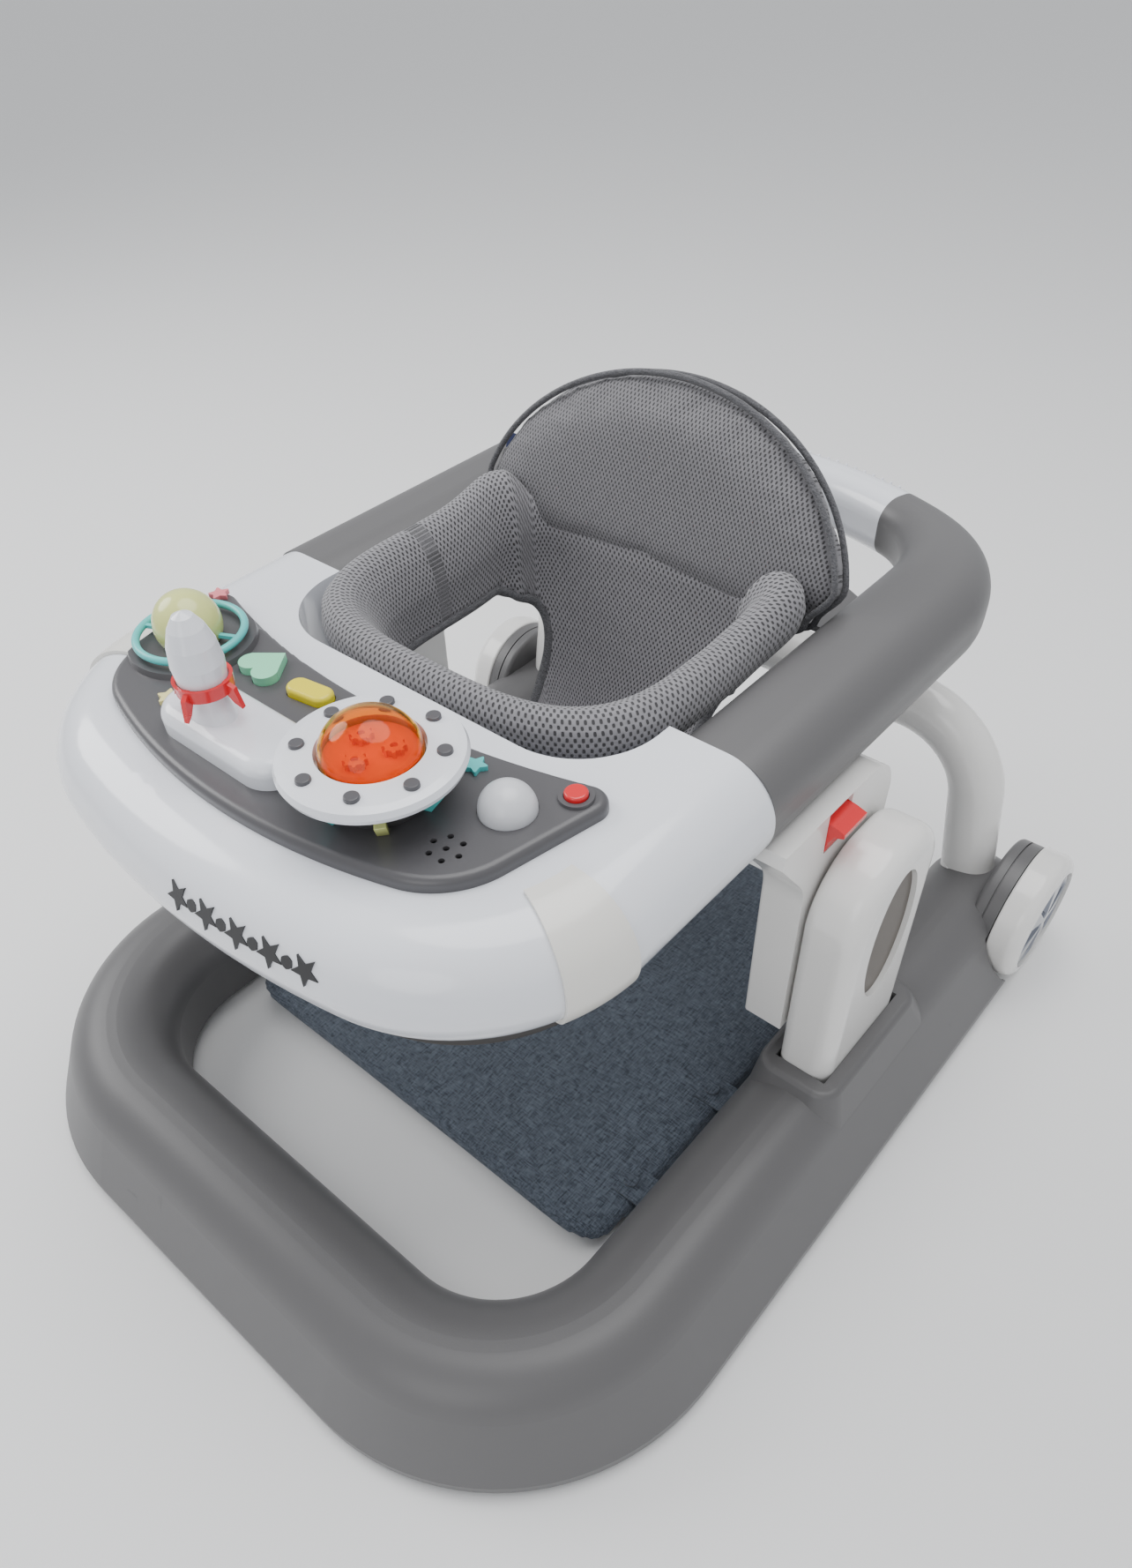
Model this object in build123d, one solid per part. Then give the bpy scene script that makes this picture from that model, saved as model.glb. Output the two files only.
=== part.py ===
"""Baby walker: U-shaped wheeled base, two columns, a height-adjustable play ring and a fabric seat.

Millimetres, +Z up, +Y to the rear, origin on the floor under the middle of the walker.
"""
from build123d import *
import math
import os

# ---- driving dimensions
BASE_WIDTH = 668.0
LENGTH = 778.0
RING_TOP = 403.0

# ---- base rail
RAIL_WIDTH = 90.0
RAIL_FLARE = 20.0
RAIL_SLOPE = 14.0
RAIL_TOP = 94.0
RAIL_FOOT = 8.0
RAIL_TAPER = 2.0
RAIL_ROUND = 41.0
RAIL_BEND = 130.0
WALL = 3.0
PLATE = 3.0
FIT = 0.3

# ---- rear wheels
WHEEL_R = 62.0
WHEEL_WIDTH = 29.0
WHEEL_Y = 322.0
DRUM_R = 60.0
DRUM_WIDTH = 22.0
AXLE_R = 5.0
RUNNING = 0.05

# ---- casters
CASTER_R = 19.0
CASTER_WIDTH = 17.0
CASTER_TRAIL = 13.0
STEM_R = 4.0
WELL_R = 36.0
CASTER_FRONT_X = 112.0
CASTER_REAR_Y = -105.0

# ---- columns and sliders
COLUMN_THICK = 43.0
COLUMN_DEPTH = 112.0
COLUMN_TOP = 306.0
COLUMN_FRONT_R = 58.0
COLUMN_REAR_R = 36.0
COLUMN_Y = 70.0
COLUMN_GAP = 2.0
SLIDER_BOTTOM = 133.0
SLIDER_TOP = 342.0
HEIGHT_TRAVEL = 60.0
WINDOW_HALF_LENGTH = 63.0
WINDOW_HALF_WIDTH = 30.0
LATCH_Y0, LATCH_Y1 = 34.0, 62.0
LATCH_LOW = 309.0

# ---- ring: tray, arms, grip
RING_CLEAR = 11.0
RING_EDGE = 330.0
RING_PAN = 308.0
TRAY_FRONT = -290.0
TRAY_FRONT_R = 620.0
TRAY_CORNER_R = 136.0
TRAY_ROUND = 38.0
TRAY_END = -21.0
OPENING_FRONT = -92.0
OPENING_R = 60.0
ARM_WIDTH = 80.0
ARM_HEIGHT = 72.0
ARM_ROUND = 31.0
ARM_BEND = 120.0
ARM_TURN = 72.0
GRIP_DEPTH = 43.0
GRIP_HEIGHT = 50.0
DECK_Z = 350.0

# ---- toy panel
PANEL_RISE = 9.0
PANEL_HALF = 186.0
PANEL_SHIFT = -8.0
PANEL_BACK = -123.0
PANEL_FRONT = -241.0
PANEL_BOW = 32.0
PANEL_TAPER = 24.0
PANEL_CORNER_R = 58.0
PANEL_WALL = 2.5
SAUCER_R = 53.5
DOME_R = 30.0
PLANET_R = 22.5
PIN_R = 3.0
SAUCER_X, SAUCER_Y, SAUCER_Z = 70.0, -181.0, 441.0
PLANET_X, PLANET_Y = -145.0, -153.0
ROCKET_X, ROCKET_Y = -47.0, -203.0
HEART_X, HEART_Y = -81.0, -142.0
YELLOW_X, YELLOW_Y = -36.0, -143.0
LAMP_X, LAMP_Y = 134.0, -145.0
LAMP_R = 17.0
POWER_X, POWER_Y = 157.0, -114.0
POWER_R = 7.0
SPEAKER_X, SPEAKER_Y = 129.0, -188.0
SPEAKER_R = 13.0
HEART_SIZE = 30.0
HEART_TURN = 172.0
DOT_COUNT = 8
DOT_R = 4.4
DOT_RING = 41.0
DOT_TURN = 34.5

# ---- seat and mat
MAT_GAP = 13.0
MAT_FRONT, MAT_REAR = -172.0, 250.0
MAT_BOTTOM, MAT_THICK = 18.0, 9.0
BACK_HEIGHT = 134.0
BACK_THICK = 34.0
BACK_LEAN = 18.0
SEAT_DEPTH = 155.0

# ---- worked out from the sizes above
RAIL_X = (BASE_WIDTH - RAIL_WIDTH) / 2 - RAIL_FLARE
RAIL_FRONT = -LENGTH / 2 + RAIL_WIDTH / 2 + RAIL_FLARE
RAIL_END = WHEEL_Y - 3
DRUM_OUT = RAIL_X + RAIL_WIDTH / 2 - 5
WHEEL_IN = DRUM_OUT + 0.8
WHEEL_OUT = WHEEL_IN + WHEEL_WIDTH
COLUMN_IN = RAIL_X - 26
COLUMN_X = COLUMN_IN + COLUMN_THICK / 2
SLIDER_OUT = COLUMN_IN - COLUMN_GAP
RING_HALF = COLUMN_IN - RING_CLEAR
ARM_X = RING_HALF - 1 - ARM_WIDTH / 2
SLIDER_IN = ARM_X + 17
OPENING_HALF = ARM_X - ARM_WIDTH / 2 + 1
MAT_HALF = RAIL_X - RAIL_WIDTH / 2 - MAT_GAP
ARM_Z = RING_TOP - 1 - ARM_HEIGHT / 2
PANEL_TOP = RING_TOP + PANEL_RISE
PLANET_Z = PANEL_TOP + 5 + PLANET_R * 0.45
GRIP_Y = LENGTH / 2 - GRIP_DEPTH / 2
BEND_X = ARM_X - ARM_BEND
TURN = math.radians(ARM_TURN)
GRIP_R = (BEND_X + ARM_BEND * math.cos(TURN)) / math.cos(TURN)
GRIP_CENTRE_Y = GRIP_Y - GRIP_R
BEND_Y = GRIP_CENTRE_Y + (GRIP_R - ARM_BEND) * math.sin(TURN)
SCREW_SPOTS = [(sx * x, y) for sx in (1, -1)
               for x, y in ((32.0, RAIL_FRONT), (RAIL_X, -35.0), (RAIL_X, 175.0), (RAIL_X - 20, 300.0))]
TRAY_SCREW_SPOTS = [(sx * x, y) for sx in (1, -1)
                    for x, y in ((60.0, -245.0), (RING_HALF - 88, -205.0), (RING_HALF - 42, -60.0))]
CASTERS = {
    "front_left": (CASTER_FRONT_X, RAIL_FRONT),
    "front_right": (-CASTER_FRONT_X, RAIL_FRONT),
    "mid_left": (RAIL_X, CASTER_REAR_Y),
    "mid_right": (-RAIL_X, CASTER_REAR_Y),
}


# ---- helpers
def block(x0, x1, y0, y1, z0, z1):
    return Pos((x0 + x1) / 2, (y0 + y1) / 2, (z0 + z1) / 2) * Box(x1 - x0, y1 - y0, z1 - z0)


def post(x, y, z0, z1, r):
    return Pos(x, y, (z0 + z1) / 2) * Cylinder(r, z1 - z0)


def cross_pin(x0, x1, y, z, r):
    """A cylinder along X."""
    return Pos((x0 + x1) / 2, y, z) * Rot(0, 90, 0) * Cylinder(r, abs(x1 - x0))


def other_side(part):
    return mirror(part, about=Plane.YZ)


def both_sides(part):
    return Compound(children=[part, other_side(part)])


def turned(points, x, y):
    """A solid of revolution about the upright line at (x, y); points are (radius, z)."""
    face = make_face(Polyline(*[(r, 0, z) for r, z in points], close=True))
    return Pos(x, y, 0) * revolve(face, axis=Axis.Z)


def edges_at(part, axis, value, reach=0.05):
    """Edges that lie wholly at one place along an axis."""
    found = []
    for edge in part.edges():
        box = edge.bounding_box()
        low, high = getattr(box.min, axis), getattr(box.max, axis)
        if abs(low - value) < reach and abs(high - value) < reach:
            found.append(edge)
    return found


def save(name, part):
    part.label = name
    export_step(part, f"parts/{name}.step")


# ---- base rail
def rail_section(inset, foot):
    """Cross-section of the rail shrunk by inset: u towards the middle of the base, outer side sloping."""
    half = RAIL_WIDTH / 2 - inset
    top = RAIL_TOP - inset
    waist = RAIL_TOP - RAIL_ROUND
    toe = -half - RAIL_FLARE
    face = make_face(Polyline((toe, foot), (half - RAIL_TAPER, foot), (half, waist), (half, top),
                              (RAIL_SLOPE - half, top), (toe, RAIL_FOOT + 9), close=True))
    high = face.vertices().sort_by(Axis.Y)[-2:]
    return fillet(high, RAIL_ROUND - inset)


def rail_sweep(section, end=RAIL_END):
    """A section carried along the U of the base, with round rear ends."""
    bend_y = RAIL_FRONT + RAIL_BEND
    bend_x = RAIL_X - RAIL_BEND
    quarter = RAIL_BEND * math.sqrt(0.5)
    path = Wire([
        Edge.make_line((-RAIL_X, end, 0), (-RAIL_X, bend_y, 0)),
        Edge.make_three_point_arc((-RAIL_X, bend_y, 0), (-bend_x - quarter, bend_y - quarter, 0),
                                  (-bend_x, RAIL_FRONT, 0)),
        Edge.make_line((-bend_x, RAIL_FRONT, 0), (bend_x, RAIL_FRONT, 0)),
        Edge.make_three_point_arc((bend_x, RAIL_FRONT, 0), (bend_x + quarter, bend_y - quarter, 0),
                                  (RAIL_X, bend_y, 0)),
        Edge.make_line((RAIL_X, bend_y, 0), (RAIL_X, end, 0)),
    ])
    start = Plane(origin=(-RAIL_X, end, 0), x_dir=(1, 0, 0), z_dir=(0, -1, 0))
    rail = sweep(start * section, path=path)
    half = section & Pos(RAIL_WIDTH, 0) * Rectangle(2 * RAIL_WIDTH, 4 * RAIL_TOP)
    upright = Plane(origin=(RAIL_X, end, 0), x_dir=(1, 0, 0), z_dir=(0, -1, 0))
    cap = revolve(upright * half, axis=Axis((RAIL_X, end, 0), (0, 0, 1)), revolution_arc=180)
    return rail + cap + other_side(cap)


def rail_outer():
    return rail_sweep(rail_section(0, RAIL_FOOT))


def rail_shell():
    inner = rail_sweep(rail_section(WALL, RAIL_FOOT - 1))
    return rail_outer() - inner


def collar():
    """Raised block round a column's foot, with soft corners."""
    low_z, high_z = 56.0, 104.0
    x_low = (RAIL_X - RAIL_WIDTH / 2 + 2, RAIL_X + RAIL_WIDTH / 2 + 1)
    x_high = (COLUMN_IN - 12, COLUMN_IN + COLUMN_THICK + 13)
    y_low = (COLUMN_Y - COLUMN_DEPTH / 2 - 36, COLUMN_Y + COLUMN_DEPTH / 2 + 40)
    y_high = (COLUMN_Y - COLUMN_DEPTH / 2 - 13, COLUMN_Y + COLUMN_DEPTH / 2 + 15)
    sections = []
    for z, xs, ys, r in ((low_z, x_low, y_low, 26), (high_z, x_high, y_high, 17)):
        centre = ((xs[0] + xs[1]) / 2, (ys[0] + ys[1]) / 2, z)
        sections.append(Pos(*centre) * RectangleRounded(xs[1] - xs[0], ys[1] - ys[0], r))
    body = loft(sections)
    body = fillet(edges_at(body, "Z", high_z), 6)
    hole = Pos(COLUMN_X, COLUMN_Y, 0) * Box(COLUMN_THICK + 2 * FIT, COLUMN_DEPTH + 2 * FIT, 4 * high_z)
    return body, hole


def hub_drum():
    """Wheel housing at the rear corner of the base; a groove runs round it."""
    x0 = DRUM_OUT - DRUM_WIDTH
    drum = cross_pin(x0, DRUM_OUT, WHEEL_Y, WHEEL_R, DRUM_R)
    drum = fillet(edges_at(drum, "X", x0), 4)
    groove_x = x0 + DRUM_WIDTH / 2
    groove = cross_pin(groove_x - 0.8, groove_x + 0.8, WHEEL_Y, WHEEL_R, DRUM_R + 1)
    groove -= cross_pin(groove_x - 2, groove_x + 2, WHEEL_Y, WHEEL_R, DRUM_R - 2)
    recess = cross_pin(x0 + 7, DRUM_OUT + 1, WHEEL_Y, WHEEL_R, DRUM_R - 5)
    recess -= cross_pin(x0, DRUM_OUT - 1, WHEEL_Y, WHEEL_R, 12)
    bore = cross_pin(x0 - 1, DRUM_OUT + 2, WHEEL_Y, WHEEL_R, AXLE_R)
    return drum - groove - recess, bore


def wheel_pocket():
    """Space cut from the rail's outer side for the wheel."""
    room = cross_pin(DRUM_OUT, DRUM_OUT + 60, WHEEL_Y, WHEEL_R, WHEEL_R + 4)
    behind = block(DRUM_OUT, DRUM_OUT + 60, WHEEL_Y, WHEEL_Y + 2 * RAIL_WIDTH, -5, 2 * WHEEL_R)
    below = block(DRUM_OUT, DRUM_OUT + 60, WHEEL_Y - 40, WHEEL_Y + 20, -5, WHEEL_R)
    return room + behind + below


def base_shell():
    block_body, hole = collar()
    drum, bore = hub_drum()
    side = block_body + drum
    shell = rail_shell() + side + other_side(side)
    cut = hole + bore + wheel_pocket()
    return shell - cut - other_side(cut)


def caster_well(x, y):
    """Cup in the underside plate that carries a caster's stem."""
    top = 2 * CASTER_R + 24
    cup = post(x, y, RAIL_FOOT + 0.5, top, WELL_R + 2.5) - post(x, y, 0, top - 3, WELL_R)
    boss = post(x, y, top - 14, top + 10, 8)
    return cup + boss - post(x, y, 0, top + 20, STEM_R + RUNNING)


def base_underside():
    foot = RAIL_FOOT + 0.5
    half = RAIL_WIDTH / 2 - RAIL_TAPER - WALL - FIT
    strip = Pos(0, foot + PLATE / 2) * Rectangle(2 * half, PLATE)
    plate = rail_sweep(strip)
    clear = block(DRUM_OUT - DRUM_WIDTH - FIT, DRUM_OUT + 60, WHEEL_Y - 68, WHEEL_Y + 120, 0, 40)
    plate = plate - clear - other_side(clear)
    for x, y in CASTERS.values():
        plate -= post(x, y, 0, 40, WELL_R)
    for x, y in CASTERS.values():
        plate += caster_well(x, y)
    for x, y in SCREW_SPOTS:
        plate -= post(x, y, 0, 20, 1.8)
    return plate


def base_screws():
    foot = RAIL_FOOT + 0.5
    screws = []
    for x, y in SCREW_SPOTS:
        head = post(x, y, foot - 2, foot, 3.8) - block(x - 3, x + 3, y - 0.5, y + 0.5, foot - 3, foot - 1.2)
        screws.append(head + post(x, y, foot, foot + 12, 1.6))
    return Compound(children=screws)


def stop_pads():
    """Rubber blocks under the plate that grip a step's edge."""
    top = RAIL_FOOT + 0.5
    front = fillet(block(-22, 22, RAIL_FRONT - 12, RAIL_FRONT + 12, 4, top).edges().filter_by(Axis.Z), 5)
    rear = block(RAIL_X - 12, RAIL_X + 12, 60, 104, 4, top)
    rear = fillet(rear.edges().filter_by(Axis.Z), 5)
    return Compound(children=[front, rear, other_side(rear)])


# ---- casters
def caster_fork(x, y):
    crown_z = 2 * CASTER_R + 4
    half = CASTER_WIDTH / 2 + 1
    axle_y = y + CASTER_TRAIL
    stem = post(x, y, crown_z, crown_z + 26, STEM_R)
    crown = post(x, y, crown_z, crown_z + 4, 13)
    bridge = block(x - half - 3, x + half + 3, y - 4, axle_y + 6, crown_z, crown_z + 4)
    fork = stem + crown + bridge
    for side in (-1, 1):
        x0 = x + side * half
        x1 = x + side * (half + 3)
        leg = block(min(x0, x1), max(x0, x1), axle_y - 6, axle_y + 6, CASTER_R, crown_z)
        leg += cross_pin(x0, x1, axle_y, CASTER_R, 6)
        fork += leg
    return fork - cross_pin(x - 30, x + 30, axle_y, CASTER_R, PIN_R + RUNNING)


def caster_wheel(x, y):
    axle_y = y + CASTER_TRAIL
    half = CASTER_WIDTH / 2
    wheel = cross_pin(x - half, x + half, axle_y, CASTER_R, CASTER_R)
    wheel = fillet(wheel.edges(), 2.5)
    for side in (-1, 1):
        ring = cross_pin(x + side * (half - 3), x + side * (half + 1), axle_y, CASTER_R, CASTER_R - 4)
        ring -= cross_pin(x + side * (half - 4), x + side * (half + 2), axle_y, CASTER_R, 6)
        wheel -= ring
    return wheel + cross_pin(x - half - 4, x + half + 4, axle_y, CASTER_R, PIN_R)


# ---- rear wheels
def rear_axle():
    shaft = cross_pin(DRUM_OUT - DRUM_WIDTH, WHEEL_OUT - 10, WHEEL_Y, WHEEL_R, AXLE_R)
    head = cross_pin(WHEEL_OUT - 10, WHEEL_OUT - 7.5, WHEEL_Y, WHEEL_R, 8)
    return shaft + head


def wheel_rim():
    rim = cross_pin(WHEEL_IN, WHEEL_OUT, WHEEL_Y, WHEEL_R, WHEEL_R)
    rim = fillet(edges_at(rim, "X", WHEEL_OUT), 12)
    rim = fillet(edges_at(rim, "X", WHEEL_IN), 2)
    inner = cross_pin(WHEEL_IN - 1, WHEEL_OUT - 15, WHEEL_Y, WHEEL_R, WHEEL_R - 5)
    inner -= cross_pin(WHEEL_IN - 2, WHEEL_OUT, WHEEL_Y, WHEEL_R, 11)
    outer = cross_pin(WHEEL_OUT - 7, WHEEL_OUT + 1, WHEEL_Y, WHEEL_R, WHEEL_R - 13)
    middle = cross_pin(WHEEL_OUT - 10.2, WHEEL_OUT, WHEEL_Y, WHEEL_R, 12)
    bore = cross_pin(WHEEL_IN - 1, WHEEL_OUT, WHEEL_Y, WHEEL_R, AXLE_R + RUNNING)
    return rim - inner - outer - middle - bore


def hubcap():
    """Dished cap with flat facets between raised spokes."""
    radius = WHEEL_R - 13 - FIT
    cap = cross_pin(WHEEL_OUT - 7, WHEEL_OUT - 1.5, WHEEL_Y, WHEEL_R, radius)
    cap = fillet(edges_at(cap, "X", WHEEL_OUT - 1.5), 1.5)
    for k in range(5):
        slot = Pos(WHEEL_OUT - 1.5, 0, radius * 0.6) * Rot(0, 90, 0) * Ellipse(11, 9)
        slot = Pos(0, WHEEL_Y, WHEEL_R) * Rot(72 * k, 0, 0) * extrude(slot, 2.2, both=True)
        cap -= slot
    return cap


# ---- columns, insets, arch
def upright_face(x, points, radii):
    """Face in the plane at x from (y, z) points; radii maps a point's number to its rounding."""
    plane = Plane(origin=(x, 0, 0), x_dir=(0, 1, 0), z_dir=(1, 0, 0))
    face = make_face(Polyline(*points, close=True))
    for number, r in radii.items():
        corner = [v for v in face.vertices() if math.dist((v.X, v.Y), points[number]) < 0.01]
        face = fillet(corner, r)
    return plane * face


def column():
    y0, y1 = COLUMN_Y - COLUMN_DEPTH / 2, COLUMN_Y + COLUMN_DEPTH / 2
    foot = RAIL_FOOT + 0.5 + PLATE
    outline = [(y0, foot), (y1, foot), (y1, COLUMN_TOP), (y0, COLUMN_TOP)]
    face = upright_face(COLUMN_IN, outline, {2: COLUMN_REAR_R, 3: COLUMN_FRONT_R})
    body = extrude(face, COLUMN_THICK)
    for x, r in ((COLUMN_IN + COLUMN_THICK, 14), (COLUMN_IN, 10)):
        body = fillet([e for e in edges_at(body, "X", x) if e.center().Z > foot + 1], r)
    window = Plane(origin=(COLUMN_IN + COLUMN_THICK, COLUMN_Y + 2, 224), x_dir=(0, 1, 0), z_dir=(1, 0, 0))
    body -= extrude(window * Ellipse(WINDOW_HALF_WIDTH, WINDOW_HALF_LENGTH), -7)
    groove = block(COLUMN_IN - 1, COLUMN_IN + 9, COLUMN_Y - 7, COLUMN_Y + 7, SLIDER_BOTTOM, COLUMN_TOP - 12)
    hollow = block(COLUMN_IN + 12, COLUMN_IN + COLUMN_THICK - 10, y0 + 8, y1 - 8, 0, COLUMN_TOP - 50)
    return body - groove - hollow


def column_inset():
    window = Plane(origin=(COLUMN_IN + COLUMN_THICK - 7, COLUMN_Y + 2, 224), x_dir=(0, 1, 0), z_dir=(1, 0, 0))
    return extrude(window * Ellipse(WINDOW_HALF_WIDTH - FIT, WINDOW_HALF_LENGTH - FIT), 3)


def rear_arch():
    """Tube from arm to arm of the base, leaning in, with flared feet cut to the rail."""
    foot, shoulder = (RAIL_X - 9, 66.0), (RAIL_X - 24, 165.0)
    bend = 80.0
    dx, dz = shoulder[0] - foot[0], shoulder[1] - foot[1]
    run = math.hypot(dx, dz)
    ux, uz = dx / run, dz / run
    cx, cz = shoulder[0] - uz * bend, shoulder[1] + ux * bend
    start = math.atan2(shoulder[1] - cz, shoulder[0] - cx)
    mid = (start + math.pi / 2) / 2
    y = WHEEL_Y - 1
    path = Wire([
        Edge.make_line((foot[0], y, foot[1]), (shoulder[0], y, shoulder[1])),
        Edge.make_three_point_arc((shoulder[0], y, shoulder[1]),
                                  (cx + bend * math.cos(mid), y, cz + bend * math.sin(mid)),
                                  (cx, y, cz + bend)),
        Edge.make_line((cx, y, cz + bend), (0, y, cz + bend)),
    ])
    across = Plane(origin=(foot[0], y, foot[1]), x_dir=(0, 1, 0), z_dir=(ux, 0, uz))
    side = sweep(across * Ellipse(22, 24), path=path)
    bore = sweep(across * Ellipse(22 - WALL, 24 - WALL), path=path)
    flare = loft([
        Pos(RAIL_X - 9.5, y, 45) * Ellipse(23, 27),
        Pos(foot[0] - 2.5, y, foot[1] + 24) * Ellipse(24.6, 23.5),
    ])
    drum, _ = hub_drum()
    keep_out = rail_outer() + drum
    side = side + flare - keep_out - bore
    arch = side + other_side(side)
    solids = sorted(arch.solids(), key=lambda s: s.volume)
    return solids[-1]


# ---- ring
def tray_plan(inset, end):
    """Plan of the tray, shrunk by inset, cut off at y = end."""
    half = RING_HALF - inset
    circle = Pos(0, TRAY_FRONT + TRAY_FRONT_R) * Circle(TRAY_FRONT_R - inset)
    plan = circle & Pos(0, end - 400) * Rectangle(2 * half, 800)
    corners = [v for v in plan.vertices() if v.Y < end - 50]
    plan = fillet(corners, TRAY_CORNER_R - inset)
    hole_half = OPENING_HALF + inset
    hole_front = OPENING_FRONT - inset
    hole = Pos(0, hole_front + 200) * RectangleRounded(2 * hole_half, 400, OPENING_R + inset)
    return plan - hole


def outer_rim_edges(part, z, inset, end):
    """The tray's outer edges at height z."""
    found = []
    for edge in edges_at(part, "Z", z):
        box = edge.bounding_box()
        if box.max.Y > end - 1 and box.min.Y > end - 1:
            continue
        reach = max(abs(box.min.X), abs(box.max.X))
        if reach > RING_HALF - inset - 1 or box.min.Y < OPENING_FRONT - inset - 20:
            found.append(edge)
    return found


def tray_body(inset, end, low, high, round_r):
    body = extrude(Pos(0, 0, low) * tray_plan(inset, end), high - low)
    body = fillet(outer_rim_edges(body, high, inset, end), round_r)
    return fillet(outer_rim_edges(body, low, inset, end), round_r)


def panel_plan(inset):
    """Plan of the toy panel: both long edges bowed the same way, round corners."""
    half = PANEL_HALF - inset
    back_y = PANEL_BACK - inset
    mid = PANEL_SHIFT
    back = ThreePointArc((mid - half, back_y + PANEL_BOW), (mid, back_y), (mid + half, back_y + PANEL_BOW))
    front_y = PANEL_FRONT + inset
    front_half = half - PANEL_TAPER
    front = ThreePointArc((mid + front_half, front_y + PANEL_BOW), (mid, front_y),
                          (mid - front_half, front_y + PANEL_BOW))
    sides = [Line(back @ 1, front @ 0), Line(front @ 1, back @ 0)]
    face = make_face([back, sides[0], front, sides[1]])
    rear = face.vertices().sort_by(Axis.Y)[-2:]
    face = fillet(rear, 13)
    low = face.vertices().sort_by(Axis.Y)[:2]
    return fillet(low, PANEL_CORNER_R - inset)


def tray_solid():
    return tray_body(0, TRAY_END, RING_TOP - 2 * TRAY_ROUND - 1, RING_TOP, TRAY_ROUND)


def tray_shell():
    low = RING_TOP - 2 * TRAY_ROUND - 1
    outer = tray_solid()
    inner = tray_body(WALL, TRAY_END - WALL, low + WALL, RING_TOP - WALL, TRAY_ROUND - WALL)
    shell = outer - inner - block(-400, 400, -400, 0, 0, RING_EDGE)
    window = extrude(Pos(0, 0, RING_TOP - 10) * panel_plan(12), 20)
    window += post(POWER_X, POWER_Y, RING_TOP - 10, RING_TOP + 10, POWER_R + 2)
    window += post(SPEAKER_X, SPEAKER_Y, RING_TOP - 10, RING_TOP + 10, SPEAKER_R + 1)
    return shell - window


def ring_lower_shell():
    """Pan that closes the tray from below."""
    inset = 24.0
    outer = extrude(Pos(0, 0, RING_PAN) * tray_plan(inset, TRAY_END - WALL), RING_EDGE - RING_PAN)
    outer = fillet(outer_rim_edges(outer, RING_PAN, inset, TRAY_END - WALL), 9)
    inner = extrude(Pos(0, 0, RING_PAN + WALL) * tray_plan(inset + WALL, TRAY_END - 2 * WALL), RING_EDGE)
    shell = outer - inner
    for x, y in TRAY_SCREW_SPOTS:
        shell -= post(x, y, 0, RING_PAN + 10, 1.8)
    return shell


def tray_screws():
    screws = []
    for x, y in TRAY_SCREW_SPOTS:
        head = post(x, y, RING_PAN - 2, RING_PAN, 3.8)
        head -= block(x - 3, x + 3, y - 0.5, y + 0.5, RING_PAN - 3, RING_PAN - 1.2)
        screws.append(head + post(x, y, RING_PAN, RING_PAN + 14, 1.6))
    return Compound(children=screws)


def arm_section(width, height, r, plane):
    return plane * RectangleRounded(width, height, r)


def arm_bend(inset, steps=4):
    """The rear corner of an arm, narrowing towards the grip."""
    sections = []
    for k in range(steps + 1):
        share = k / steps
        angle = TURN * share
        blend = share * share * (3 - 2 * share)
        width = ARM_WIDTH + (GRIP_DEPTH - ARM_WIDTH) * blend - 2 * inset
        height = ARM_HEIGHT + (GRIP_HEIGHT - ARM_HEIGHT) * blend - 2 * inset
        r = ARM_ROUND + (GRIP_DEPTH / 2 - 3 - ARM_ROUND) * blend - inset
        out = Vector(math.cos(angle), math.sin(angle), 0)
        centre = Vector(BEND_X, BEND_Y, ARM_Z) + out * ARM_BEND
        along = Vector(-math.sin(angle), math.cos(angle), 0)
        plane = Plane(origin=centre, x_dir=out, z_dir=along)
        sections.append(arm_section(width, height, r, plane))
    return loft(sections)


def arm_solid(inset, start):
    plane = Plane(origin=(ARM_X, start, ARM_Z), x_dir=(1, 0, 0), z_dir=(0, 1, 0))
    section = arm_section(ARM_WIDTH - 2 * inset, ARM_HEIGHT - 2 * inset, ARM_ROUND - inset, plane)
    return extrude(section, BEND_Y - start) + arm_bend(inset)


def arm():
    return arm_solid(0, TRAY_END) - arm_solid(WALL, TRAY_END - 1)


def grip_sweep(depth, height, r, shrink=0.0):
    turn = 2 * (90 - ARM_TURN) - shrink
    angle = math.radians(ARM_TURN + shrink / 2)
    out = Vector(math.cos(angle), math.sin(angle), 0)
    centre = Vector(0, GRIP_CENTRE_Y, ARM_Z) + out * GRIP_R
    plane = Plane(origin=centre, x_dir=out, z_dir=(-math.sin(angle), math.cos(angle), 0))
    face = plane * RectangleRounded(depth, height, r)
    return revolve(face, axis=Axis((0, GRIP_CENTRE_Y, 0), (0, 0, 1)), revolution_arc=turn)


def rear_grip():
    """Hollow bowed handle between the arms, with a finger recess underneath."""
    grip = grip_sweep(GRIP_DEPTH, GRIP_HEIGHT, GRIP_DEPTH / 2 - 3)
    core = grip_sweep(GRIP_DEPTH - 2 * WALL, GRIP_HEIGHT - 2 * WALL, GRIP_DEPTH / 2 - 3 - WALL, 2.0)
    slot = block(-60, 60, GRIP_Y - 60, GRIP_Y + 5, ARM_Z - GRIP_HEIGHT, ARM_Z - GRIP_HEIGHT / 2 + 8)
    return grip - core - slot


def rear_deck():
    """Web between the arms, behind the backrest."""
    rear = GRIP_Y - 95
    half = ARM_X - ARM_WIDTH / 2 + 8
    curve = ThreePointArc((-half, rear - 38), (0, rear + 12), (half, rear - 38))
    front = 196.0
    outline = [curve, Line(curve @ 1, (half, front)), Line((half, front), (-half, front)),
               Line((-half, front), curve @ 0)]
    deck = extrude(Pos(0, 0, DECK_Z) * make_face(outline), 5)
    solid_arm = arm_solid(0, TRAY_END)
    deck = deck - solid_arm - other_side(solid_arm)
    return max(deck.solids(), key=lambda s: s.volume)


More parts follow.
